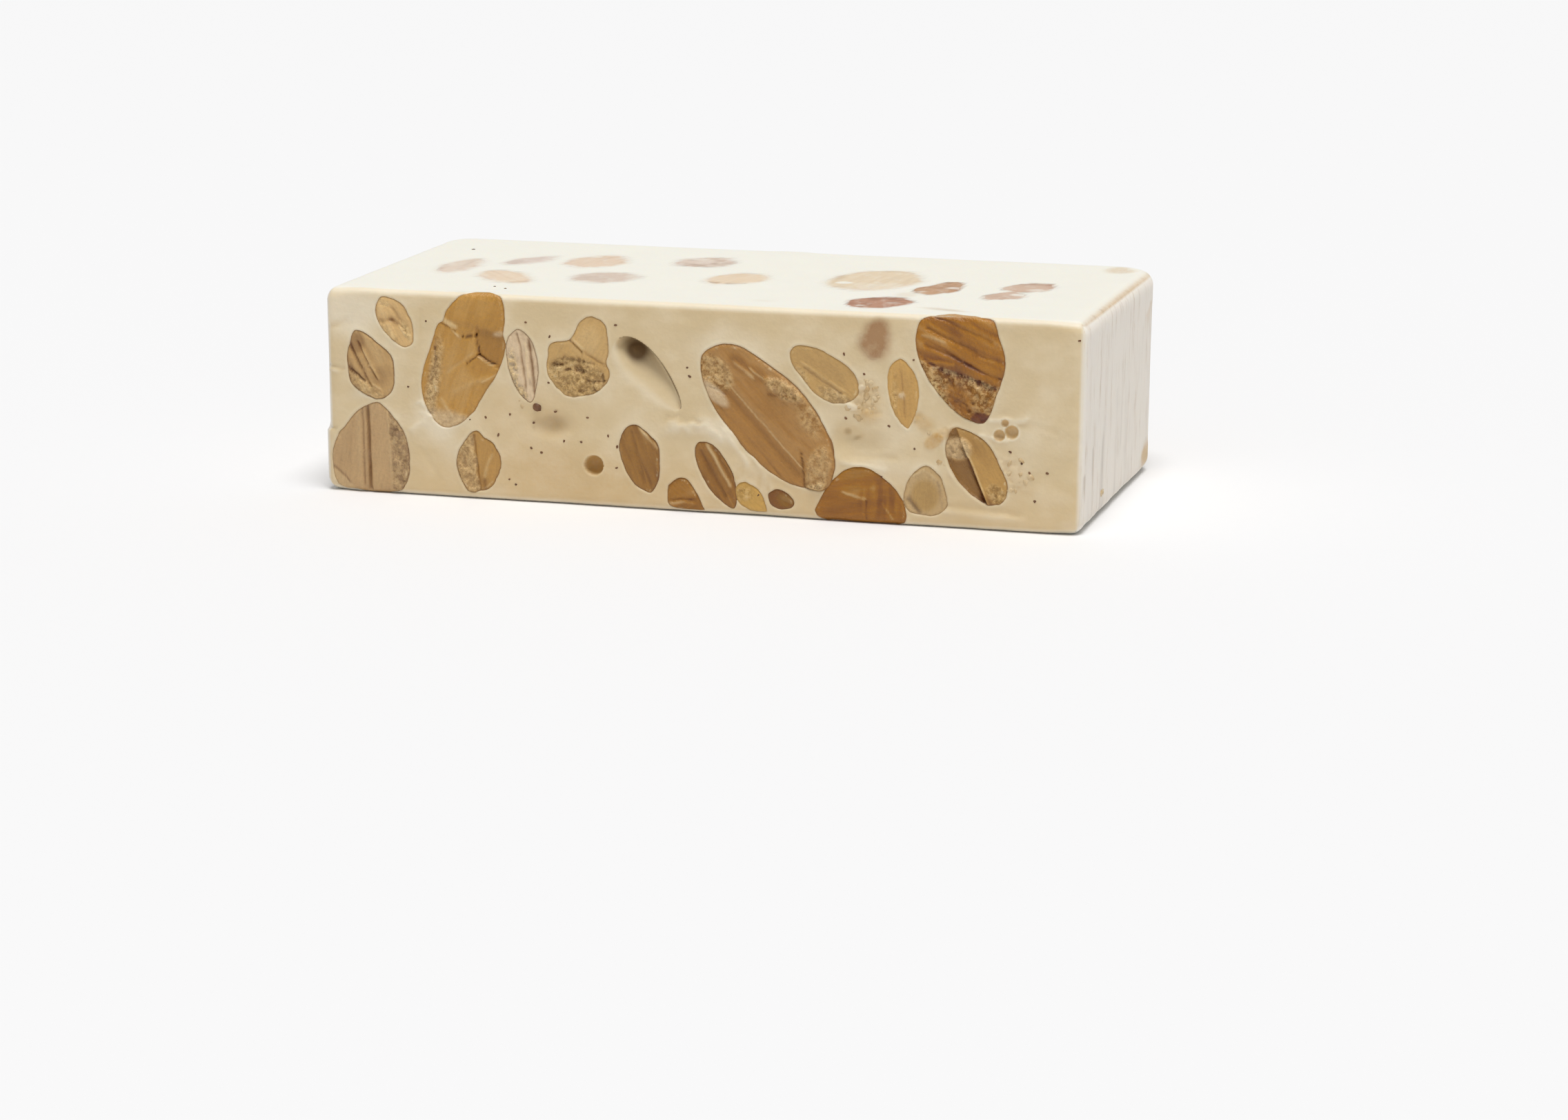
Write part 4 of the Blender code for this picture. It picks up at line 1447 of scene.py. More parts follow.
        spot(30.82, 9.14, 3.2, 2.6, 0, crumb=0.5, film=0.45, rough=0.2, height=0.35, tone=0.4),
        spot(35.47, 4.2, 2.6, 1.8, -40, crumb=0.7, rough=0.14),
        spot(33.1, 9.34, 4.0, 1.6, -40, 0.6, tone=-0.25),
        spot(34.38, 3.11, 2.4, 1.2, -50, tone=-0.9),
    )),
    Almond(19.85, 1.2, 10.9, 10.2, 0, 3.0, taper=0.08, sharp=0.5, flesh=Flesh.BROWN,
           tint=(160, 113, 56), skin=0.5, bumps=((95, 0.4, 25),), marks=(
        Fibres(88, 0.7, 0.1, -0.5, (Oval(22.3, 2.6, 5.4, 4.6, 0, 0.8),)),
        spot(17.4, 1.6, 5.0, 3.0, 0, 0.8, tone=-0.2),
        spot(19.26, 4.2, 4.6, 2.4, 0, 0.8, tone=0.28),
        Groove(17.58, 3.41, 20.25, 2.82, 0.16, -0.06, 0.7),
        Groove(20.34, 2.62, 20.44, 0.45, 0.12, 0.1, -0.5),
        Groove(22.22, 2.42, 23.41, 0.64, 0.12, -0.05, 0.5),
        Fibres(10, 1.2, 0.05, -0.3),
    )),
    Almond(27.2, 4.1, 5.9, 4.8, 90, 2.4, 0.12, 0.0, flesh=Flesh.GREY,
           tint=(181, 149, 100), skin=0.5, bumps=((-35, 0.4, 25), (-145, 0.4, 25)), marks=(
        Patch(film=0.38),
        spot(27.17, 3.61, 3.2, 3.6, 0, 0.4, film=-0.36, tone=-0.1),
        Groove(25.3, 5.6, 27.0, 6.6, 0.14, -0.1, 0.8, 0.1),
        Groove(27.4, 6.4, 28.9, 5.2, 0.14, -0.08, 0.6, 0.1),
        Groove(28.65, 5.38, 29.15, 2.22, 0.16, 0.08, -0.5),
        Groove(25.19, 3.11, 26.48, 1.63, 0.3, 0.3, -0.9),
    )),
    Almond(10.3, 2.1, 3.46, 2.37, -20, 1.8, flesh=Flesh.BROWN,
           tint=(130, 92, 50), skin=0.7, marks=(spot(10.96, 2.03, 2.0, 1.2, -20, 0.4, tone=0.2),)),
    Almond(6.9, 1.9, 4.4, 2.8, -40, 1.6, taper=0.3, sharp=0.2, ragged=0.16,
           tint=(196, 158, 95), skin=0.3, bumps=((130, 0.4, 30),), marks=(
        spot(6.0, 2.6, 2.0, 1.6, 0, crumb=0.5, rough=0.08),
    )),
    veiled(21.2, 21.1, 5.2, 4.2, 80, 1.6, tint=(168, 134, 101), skin=0.3),
))

TOP_ALMONDS = numbered(Side.TOP, (
    veiled(-35.16, -1.56, 12.35, 4.94, 90, 2.6, tint=(226, 208, 189), marks=(
        spot(-37.0, -4.5, 2.0, 5.0, 0, 0.8, tone=-0.15),
        Groove(-35.6, 3.4, -34.2, -5.0, 0.5, 0.0, -0.1),
    )),
    veiled(-28.4, 4.86, 8.4, 4.2, 62, 2.2, tint=(220, 203, 190), marks=(
        spot(-30.0, 2.2, 2.6, 4.0, 0, 0.8, tone=-0.15),
        spot(-26.6, 7.6, 2.0, 3.4, 0, 0.8, film=0.35),
    )),
    veiled(-20.55, 6.05, 10.37, 7.71, 82, 3.0, tint=(230, 207, 182), marks=(
        Groove(-23.4, 8.6, -18.4, 8.9, 0.7, 0.0, -0.1),
        spot(-21.8, 9.2, 1.6, 1.2, 0, film=0.6),
    )),
    veiled(-26.97, -8.25, 11.36, 5.93, -49, 2.6, tint=(233, 211, 184), marks=(
        Groove(-25.4, -12.4, -23.5, -11.0, 0.5, 0.0, -0.3),
        Groove(-30.6, -5.0, -28.6, -3.6, 0.5, 0.0, -0.15),
    )),
    veiled(-15.62, -5.49, 8.69, 8.1, 30, 2.6, tint=(217, 198, 181), marks=(
        spot(-16.6, -6.6, 4.0, 3.0, 0, 1.0, tone=-0.12),
        spot(-12.6, -3.6, 2.2, 2.6, 0, 0.8, film=0.35),
    )),
    veiled(-7.73, 9.12, 8.4, 7.9, 60, 2.6, broken=0.04, tint=(222, 203, 186), marks=(
        Patch(rough=0.05, grain=1.1),
        spot(-9.0, 10.6, 2.4, 2.0, 0, 0.6, film=0.4),
        spot(-5.8, 7.6, 2.4, 2.2, 0, 0.6, tone=-0.2),
    )),
    veiled(-0.52, -2.02, 9.09, 7.21, 70, 2.8, broken=0.03, tint=(233, 211, 182), marks=(
        Groove(-3.6, -5.4, -2.0, -5.6, 0.5, 0.0, -0.5),
        Groove(-0.6, -5.8, 1.2, -5.2, 0.4, 0.0, -0.4),
        Groove(1.4, 1.6, 2.8, 1.0, 0.5, 0.0, -0.2),
    )),
    veiled(15.3, 1.44, 15.81, 11.4, 84, 3.4, tint=(229, 209, 178), marks=(
        spot(12.2, -1.6, 2.0, 1.8, 0, film=0.9),
        spot(10.6, 2.2, 1.4, 4.6, 0, 0.6, tone=-0.25),
        Groove(12.2, 8.4, 19.0, 7.6, 0.7, 0.0, -0.16),
        spot(16.8, -3.0, 6.0, 4.4, 0, 1.4, film=0.3),
        Groove(11.4, -4.4, 15.0, -5.8, 0.5, 0.0, -0.12),
    )),
    Almond(19.7, -13.94, 8.6, 7.2, 60, 1.8, broken=0.05, flesh=Flesh.BROWN,
           tint=(187, 140, 113), band=Band.RAGGED, marks=(
        Patch(rough=0.05, grain=0.8),
        spot(19.4, -11.0, 3.4, 1.6, 0, 0.5, tone=-0.35),
        spot(21.6, -13.8, 1.6, 1.2, 0, film=0.35),
        spot(18.2, -16.6, 1.2, 1.0, 0, film=0.5),
    )),
    Almond(23.9, -2.11, 9.88, 5.0, 80, 2.2, broken=0.06, tint=(196, 156, 121), band=Band.RAGGED, marks=(
        Patch(rough=0.05, grain=1.0),
        Groove(22.8, 2.0, 25.6, 1.8, 0.6, 0.0, -0.3),
        spot(25.6, -2.0, 1.6, 1.8, 0, 0.4, film=0.6),
        spot(22.4, -5.4, 1.4, 1.4, 0, 0.4, film=0.45),
    )),
    Almond(33.7, 1.06, 7.31, 5.8, 60, 2.2, broken=0.05, tint=(209, 180, 157), band=Band.RAGGED, marks=(
        Groove(31.6, 3.0, 35.4, 3.2, 0.7, 0.0, -0.35),
        spot(35.0, -0.8, 2.2, 1.6, 0, 0.5, film=0.5),
    )),
    Almond(32.3, -5.6, 6.2, 4.6, 70, 1.8, broken=0.05, tint=(212, 184, 162), band=Band.RAGGED, marks=(
        spot(33.6, -4.6, 1.8, 1.8, 0, 0.4, film=0.75),
        spot(31.4, -6.4, 2.2, 2.0, 0, 0.6, tone=-0.15),
    )),
))

BACK_ALMONDS = numbered(Side.BACK, (
    Almond(-36.0, 15.5, 12.8, 7.2, 58, 3.4, flesh=Flesh.BROWN, tint=(165, 122, 74)),
    Almond(-31.0, 5.3, 9.0, 5.4, -28, 2.8, tint=(184, 150, 106)),
    Almond(-21.5, 12.8, 16.5, 8.2, -62, 4.0, flesh=Flesh.GOLDEN, tint=(186, 144, 91)),
    Almond(-12.2, 18.8, 7.4, 4.2, 24, 2.6, flesh=Flesh.GREY, tint=(184, 157, 124)),
    Almond(-11.5, 4.8, 8.4, 5.8, 75, 2.8, broken=0.05, flesh=Flesh.BROWN, tint=(156, 116, 70)),
    Almond(-2.0, 12.4, 18.5, 8.8, 54, 4.2, flesh=Flesh.BROWN, tint=(168, 126, 79)),
    Almond(9.6, 17.2, 8.8, 4.6, -72, 2.6, flesh=Flesh.GOLDEN, tint=(188, 150, 98)),
    Almond(10.4, 5.6, 8.2, 5.0, 22, 2.6, tint=(181, 147, 103)),
    Almond(20.6, 13.6, 13.4, 7.6, 80, 3.6, flesh=Flesh.GOLDEN, tint=(182, 140, 86)),
    Almond(21.8, 3.2, 6.6, 3.8, -12, 2.2, broken=0.04, flesh=Flesh.GREY, tint=(180, 151, 114)),
    Almond(32.5, 8.6, 12.0, 6.8, -48, 3.2, tint=(186, 152, 108)),
    Almond(35.6, 18.9, 6.4, 4.0, 12, 2.2, flesh=Flesh.BROWN, tint=(154, 112, 66)),
))

HIDDEN_ALMONDS = (
    numbered(Side.RIGHT, (
        veiled(15.8, 2.4, 7.0, 3.6, 4, 2.0, sharp=0.0, tint=(196, 174, 142)),
    ))
    + numbered(Side.LEFT, (
        veiled(6.0, 14.2, 9.0, 5.2, 62, 2.4, tint=(196, 174, 146)),
        veiled(-9.5, 8.0, 6.6, 4.4, -35, 2.2, tint=(192, 168, 138)),
    ))
    + numbered(Side.FOOT, (
        veiled(-28.0, 2.5, 13.0, 7.0, 28, 2.6, tint=(196, 176, 152)),
        veiled(-6.0, -6.0, 10.5, 6.0, -52, 2.6, tint=(196, 176, 152)),
        veiled(13.0, 5.0, 12.0, 6.6, 74, 2.6, tint=(196, 176, 152)),
        veiled(32.0, -3.0, 9.0, 5.2, -18, 2.4, tint=(196, 176, 152)),
    ))
)

# The mould of an almond that fell out, in the front.
FALLEN = Almond(-5.45, 15.66, 10.67, 4.54, -46, 2.4, taper=0.25, name="fallen_almond")


@dataclass(frozen=True)
class Pit:
    """A bubble that the knife opened, with painted shade inside, tinted amber, and a painted highlight on its
    rim.
    """

    across: float
    up: float
    radius: float
    # how dark the painted shade inside it is
    tone: float = -0.62
    core: float = 0.0  # how much of the painted shade a pale floor takes away
    deep: float = 1.3  # its depth over its radius

    lip = 0.05
    # a painted highlight on the rim, and the amber tint of the painted shade inside
    lip_highlight = 0.35
    stain_and_warm_shade = 0.9
    fine = 1.35  # how far out, over its radius, the face needs fine faces

    def mark(self, cut: Cut) -> None:
        """Adds the pit, with a low rim round it, painted shade inside and a painted highlight on the rim.

        Args:
            cut: The face.
        """
        reach = np.hypot(cut.across - self.across, cut.up - self.up) / self.radius
        cut.height -= self.deep * self.radius * np.clip(1.0 - reach**2, 0.0, 1.0) ** 0.5
        cut.height += self.lip * hump(reach, 0.15, 1.12)
        inside = smooth(1.04, 0.8, reach)
        cut.tone += self.tone * inside * (1.0 - self.core * smooth(0.85, 0.45, reach))
        cut.tone += self.lip_highlight * hump(reach, 0.14, 1.15)
        cut.crumb += self.stain_and_warm_shade * inside

    def close(self, across: np.ndarray, up: np.ndarray) -> np.ndarray:
        """Where the face needs fine faces for this pit."""
        return np.hypot(across - self.across, up - self.up) < self.radius * self.fine


@dataclass(frozen=True)
class Hollow:
    """The empty mould of an almond: its floor drops from the lower rim to a steep wall at the upper one. Its
    deep end and upper wall get painted shade, its lower lip a painted highlight.
    """

    mould: Almond
    deep: float = 2.7
    shallow: float = 0.5
    wall: float = 0.17  # the share of the width that the steep wall takes

    shadows = ((0.6, 0.38, 0.75), (0.56, 0.16, 0.95))  # painted shadows in the deep end: how far back each lies, its reach and its dark
    shadow_rung = 0.62
    # an amber tint for the painted shadows, painted shade along the upper wall, and a painted highlight on
    # the lower lip
    stain_and_warm_shade = 0.12
    wall_shadow = 0.9
    lip_highlight = 0.5

    def mark(self, cut: Cut) -> None:
        """Adds the hollow to the face.

        Args:
            cut: The face.
        """
        along, beside = self.mould.from_side(cut.across, cut.up)
        share = np.clip(2 * along / self.mould.length, -1.0, 1.0)
        half_width = self.mould.width / 2 * np.sqrt(1.0 - share**2) * (1 - self.mould.taper * share) + 1e-3
        rung = (beside / half_width + 1) / 2
        inside = (rung > 0) & (rung < 1) & (np.abs(share) < 1)
        drop = smooth(0.0, 1.25, rung) * 1.15 * smooth(1.0, 1.0 - self.wall, rung)
        end = smooth(-1.0, -0.86, share)
        floor = self.deep + (self.shallow - self.deep) * smooth(-0.9, 0.9, share)
        cut.height -= floor * drop * end * inside
        # painted shadows in the deep end, tinted amber, then painted shade along the upper wall and a painted
        # highlight on the lower lip
        for middle, reach, dark in self.shadows:
            away = ((share + middle) / reach) ** 2 + ((rung - self.shadow_rung) / reach) ** 2
            cut.tone -= dark * np.exp(-away) * inside
            cut.crumb += self.stain_and_warm_shade * np.exp(-away) * inside
        cut.tone -= self.wall_shadow * hump(rung, 0.07, 0.94) * inside
        cut.tone += self.lip_highlight * hump(rung, 0.2, 0.12) * smooth(1.3, 0.8, np.abs(share))

    def close(self, across: np.ndarray, up: np.ndarray) -> np.ndarray:
        """Where the face needs fine faces for this hollow."""
        return np.abs(self.mould.outside(across, up) + 0.6) < 1.0


NOUGAT_MARKS = {
    Side.FRONT: (
        Hollow(FALLEN),
        Pit(-12.06, 4.8, 1.15, -0.27),
        Pit(35.57, 10.92, 0.68, -0.35, 0.8, 0.7),
        Pit(36.95, 11.35, 0.8, -0.4, 0.8, 0.7),
        Pit(36.2, 12.35, 0.45, -0.25, 0.8, 0.7),
        # two dents darkened with painted shade
        spot(-17.2, 9.33, 4.0, 2.4, 0, 0.9, height=-0.5, tone=-0.45, crumb=0.25),
        spot(19.06, 9.04, 4.8, 2.6, 0, 1.0, height=-0.6, tone=-0.28),
        spot(26.87, 11.9, 2.6, 1.6, -40, 0.5, crumb=0.6, rough=0.12, tone=-0.08),
        spot(28.1, 9.9, 2.4, 1.5, 38, 0.18, crumb=0.95, rough=0.1, height=0.12, tone=0.1),
        spot(29.8, 10.9, 3.0, 1.3, 10, crumb=0.6, rough=0.16, height=0.1, tone=0.1),
        spot(25.49, 12.4, 1.6, 1.0, 0, 0.4, crumb=0.5),
        spot(20.25, 14.08, 3.0, 4.0, 0, 1.0, crumb=0.55, rough=0.14),
        # two small pale bumps at the almond's rim: painted highlights
        spot(19.7, 15.5, 0.8, 0.6, 0, 0.15, tone=1.0, height=0.15),
        spot(18.6, 13.3, 1.3, 0.6, -20, 0.15, tone=1.0, height=0.14),
        # two dark spots in the dent at the right: painted shade
        spot(18.0, 10.4, 0.9, 0.8, 20, 0.25, tone=-0.4, crumb=0.4),
        spot(19.2, 9.7, 1.2, 0.5, 25, 0.2, tone=-0.4, crumb=0.3),
        spot(20.6, 12.4, 2.6, 1.6, 0, 0.5, crumb=0.4, rough=0.14, height=0.08),
        spot(37.05, 6.77, 5.0, 2.6, -50, 1.0, crumb=0.35, rough=0.14),
        # the dent there darkened with painted shade
        spot(17.9, 10.3, 2.6, 2.4, 0, 0.8, tone=-0.3, height=-0.2),
        spot(-42.0, 14.27, 1.4, 5.0, 0, 0.6, crumb=0.15),
        spot(-40.03, 11.7, 5.0, 1.2, 10, 0.5, tone=0.25),
        spot(-31.72, 9.13, 5.0, 5.4, 0, 1.5, tone=0.35, height=0.05),
        spot(-29.94, 6.76, 3.2, 6.0, 20, 1.2, tone=0.3),
        spot(3.06, 9.53, 4.4, 2.6, -30, 0.8, tone=0.5, height=0.12),
        spot(7.01, 4.2, 5.0, 3.2, -40, 0.8, tone=0.3, rough=0.04),
        spot(16.69, 10.92, 6.0, 3.4, -30, 1.2, tone=0.25),
        spot(21.63, 9.63, 6.0, 5.5, 0, 1.5, tone=0.3),
        spot(24.59, 6.57, 10.0, 1.6, 0, 0.5, tone=0.3, height=0.05),
        spot(-1.2, 9.73, 6.0, 1.8, 5, 0.9, tone=0.35, height=0.1),
        spot(37.94, 11.11, 9.0, 2.4, -4, 1.0, tone=0.2),
        spot(38.43, 8.64, 3.5, 8.0, 0, 1.6, tone=0.25),
        # pale ridges and dark furrows where the knife dragged: painted highlights and painted shade
        Groove(17.48, 6.77, 22.42, 6.37, 0.25, -0.12, 0.4),
        Groove(18.67, 7.56, 23.6, 7.76, 0.3, 0.1, -0.15),
        Groove(33.29, 10.82, 36.45, 10.32, 0.2, -0.12, 0.4),
        Groove(-2.67, 10.13, 3.26, 9.34, 0.3, -0.1, 0.2, 1.0),
        Groove(-3.26, 10.72, 1.48, 10.33, 0.3, 0.08, -0.1, 1.0),
        Groove(26.38, 2.12, 38.43, 1.43, 0.3, -0.1, 0.25),
        Groove(26.58, 2.82, 38.04, 2.12, 0.3, 0.1, -0.12),
        Groove(-32.9, 9.92, -29.15, 8.74, 0.25, -0.08, 0.3),
        Groove(-33.3, 5.58, -30.73, 2.02, 0.3, 0.07, -0.1),
        Groove(-32.81, 21.97, -33.0, 17.63, 0.12, 0.06, -0.25),
        Groove(35.86, 13.48, 41.0, 10.72, 0.3, 0.05, -0.08),
        Groove(6.81, 7.46, 9.18, 3.21, 0.3, -0.1, 0.25),
        Groove(-43.98, 19.41, -41.61, 19.9, 0.2, 0.08, -0.15),
        Groove(-45.2, 14.9, -42.8, 14.6, 0.18, 0.15, -0.25),
        Groove(-45.2, 14.4, -43.6, 14.2, 0.2, -0.12, 0.5),
        Groove(-45.2, 19.2, -42.4, 20.3, 0.3, 0.12, -0.25),
        Groove(-45.2, 7.5, -44.0, 7.3, 0.2, 0.2, -0.3),
        spot(-42.2, 21.6, 8.0, 5.0, 0, 2.0, tone=0.95),
        # a pale band along the front's top edge: a painted highlight
        spot(0.0, 24.4, 96.0, 1.8, 0, 0.5, tone=0.9),
        spot(0.0, 1.6, 92.0, 8.0, 0, 3.0, crumb=0.32),
        spot(42.0, 14.0, 9.0, 16.0, 0, 4.0, tone=0.2),
        spot(-4.5, 22.6, 17.0, 2.6, -4, 1.3, tone=-0.12),
        spot(-13.0, 3.4, 14.0, 6.0, 0, 2.5, tone=-0.1, crumb=0.15),
        spot(-20.0, 9.0, 12.0, 12.0, 0, 3.0, crumb=0.2),
        spot(3.0, 20.0, 16.0, 6.0, 0, 2.5, tone=0.2),
        Groove(-34.0, 7.6, -31.8, 9.5, 0.45, -0.14, 0.3, 1.0),
        Groove(-31.6, 9.8, -28.2, 9.3, 0.3, -0.12, 0.4, 0.7),
        Groove(-33.4, 10.8, -31.6, 10.9, 0.25, -0.1, 0.4, 0.7),
        Groove(-3.0, 9.9, 0.8, 9.5, 0.5, -0.12, 0.25, 1.2),
        Groove(0.4, 10.8, 3.4, 9.0, 0.4, -0.12, 0.3, 1.2),
        Groove(3.6, 9.8, 6.4, 6.0, 0.3, -0.12, 0.5, 0.2),
        Groove(34.6, 12.6, 38.6, 12.9, 0.3, -0.12, 0.5, 0.3),
        Groove(38.0, 12.4, 42.0, 11.6, 0.35, 0.08, -0.15, 0.3),
    ),
    Side.BACK: (
        Pit(3.6, 5.0, 1.0),
        Pit(27.2, 18.6, 0.8),
        # a dent darkened with painted shade
        spot(15.0, 10.0, 4.4, 2.6, 0, 1.0, height=-0.5, tone=-0.28),
        spot(-28.0, 19.5, 9.0, 3.0, -10, 1.4, tone=0.3),
        spot(4.0, 19.0, 7.0, 4.0, 20, 1.5, tone=0.25),
        spot(27.0, 12.0, 3.0, 9.0, 10, 1.2, tone=0.3),
        spot(-5.5, 3.0, 6.0, 2.4, 0, 1.0, tone=0.3, height=0.08),
        spot(-42.0, 6.0, 3.0, 8.0, 0, 1.4, crumb=0.15),
        spot(26.5, 6.5, 3.4, 2.0, 30, 0.7, crumb=0.45),
        Groove(-27.0, 20.6, -18.6, 21.6, 0.3, 0.08, -0.12),
        Groove(0.5, 3.0, 6.4, 2.2, 0.3, -0.1, 0.3),
        Groove(13.8, 20.4, 21.8, 21.6, 0.3, 0.07, -0.1),
        Groove(25.6, 4.6, 29.4, 2.4, 0.28, -0.1, 0.3),
    ),
    Side.TOP: (
        spot(6.79, -16.32, 2.6, 1.5, 0, 0.5, crumb=0.12, tone=-0.05),
        spot(21.29, -7.83, 2.4, 3.6, 0, 0.5, crumb=0.22, tone=-0.12),
        spot(41.22, 16.84, 3.6, 5.0, 0, 0.6, crumb=0.55),
        spot(28.0, -16.69, 5.4, 1.2, -16, 0.4, crumb=0.35, tone=-0.3),
        Groove(-30.22, -19.9, -24.3, -19.1, 0.3, 0.05, -0.2),
        Groove(-26.07, -17.52, -22.72, -17.72, 0.22, 0.04, -0.3),
    ),
    Side.RIGHT: (
        spot(13.93, 21.01, 3.6, 5.4, 0, 0.8, crumb=0.3, height=0.05),
        spot(-20.3, 12.7, 1.4, 22.0, 0, 0.5, tone=-0.1),
        spot(0.0, 23.2, 46.0, 4.4, 0, 1.4, tone=-0.15, crumb=0.8),
        spot(20.4, 12.7, 5.0, 24.0, 0, 1.2, tone=-0.12, crumb=0.5),
        Groove(-4.6, 21.6, -4.5, 20.9, 0.3, 0.1, -0.5),
        Fibres(90, 1.6, 0.05, -0.16),
        Fibres(90, 0.8, 0.03, -0.2, (), 4),
    ),
    Side.LEFT: (Fibres(90, 1.6, 0.07, -0.1),),
    Side.FOOT: (spot(10.0, -12.0, 14.0, 5.0, 10, 2.0, tone=0.1),),
}

FRONT_SPECKS = (
    (-32.21, 20.59), (-34.58, 12.79), (-27.08, 9.38), (-25.1, 9.72), (-23.57, 7.75), (-22.14, 10.22),
    (-22.34, 2.61), (-21.55, 2.02), (-9.25, 21.19), (-20.07, 20.99), (-17.2, 19.51), (-17.4, 14.17),
    (-19.27, 9.38), (-16.61, 10.81), (-12.76, 10.32), (-10.29, 8.34), (-19.62, 6.42), (-18.38, 5.97),
    (-15.62, 7.45), (-13.55, 7.45), (-9.2, 7.16), (-9.3, 4.69), (-0.5, 15.76), (-0.79, 16.75),
    (17.58, 19.21), (17.87, 11.9), (7.6, 2.52), (38.23, 7.95), (39.12, 6.87), (41.15, 6.96), (39.81, 3.7),
    (44.36, 21.98), (25.59, 18.92), (19.95, 17.04), (22.91, 11.31), (25.89, 8.89), (22.12, 5.48),
    (36.85, 9.14),
)
TOP_SPECKS = ((-38.32, 10.96), (-25.88, -15.25), (-24.2, -16.34))
FRONT_SPECK_SIZE = 0.17
TOP_SPECK_SIZE = 0.2
LONE_FLECK = (Side.FRONT, -18.9, 11.2, 0.65)


@dataclass(frozen=True)
class Cluster:
    """A sprinkle of bits on a side, inside an oval."""

    side: Side
    across: float
    up: float
    length: float
    width: float
    turn: float
    count: int
    size: float


CRUMBS = (
    Cluster(Side.FRONT, 20.25, 13.98, 3.2, 4.4, 0, 9, 0.40),
    Cluster(Side.FRONT, 18.37, 13.68, 2.0, 2.0, 0, 4, 0.45),
    Cluster(Side.FRONT, 37.24, 6.77, 5.0, 3.6, -50, 11, 0.36),
    Cluster(Side.FRONT, 30.53, 9.93, 2.6, 2.0, 0, 4, 0.45),
    Cluster(Side.FRONT, 26.58, 12.3, 2.4, 1.4, 0, 3, 0.35),
    Cluster(Side.FRONT, -17.3, 15.65, 1.6, 2.6, 0, 3, 0.35),
    Cluster(Side.FRONT, 8.59, 15.26, 2.4, 1.6, -30, 4, 0.42),
    Cluster(Side.FRONT, 5.43, 2.41, 2.6, 1.6, 0, 3, 0.35),
    Cluster(Side.FRONT, -20.46, 11.7, 2.6, 1.0, 0, 4, 0.3),
    Cluster(Side.BACK, -28.5, 9.8, 3.6, 2.6, 0, 6, 0.42),
    Cluster(Side.BACK, 5.0, 12.0, 3.0, 3.6, 0, 6, 0.4),
    Cluster(Side.BACK, 27.0, 9.0, 3.0, 3.4, 0, 6, 0.4),
    Cluster(Side.BACK, -40.0, 8.6, 3.4, 2.4, 0, 5, 0.36),
    Cluster(Side.BACK, 14.6, 19.6, 3.0, 1.6, 0, 4, 0.36),
    Cluster(Side.RIGHT, -10.22, 3.03, 1.6, 1.0, 0, 2, 0.4),
    Cluster(Side.FRONT, 20.6, 15.2, 2.4, 3.2, 0, 9, 0.38),
    Cluster(Side.FRONT, 19.6, 12.6, 3.0, 1.6, -20, 8, 0.36),
    Cluster(Side.FRONT, 28.8, 10.9, 2.6, 1.0, 10, 7, 0.32),
    Cluster(Side.FRONT, 29.0, 7.6, 0.8, 3.0, 10, 5, 0.26),
)
BACK_SPECKS = Cluster(Side.BACK, 0.0, 11.5, 84.0, 21.0, 0, 44, 0.17)


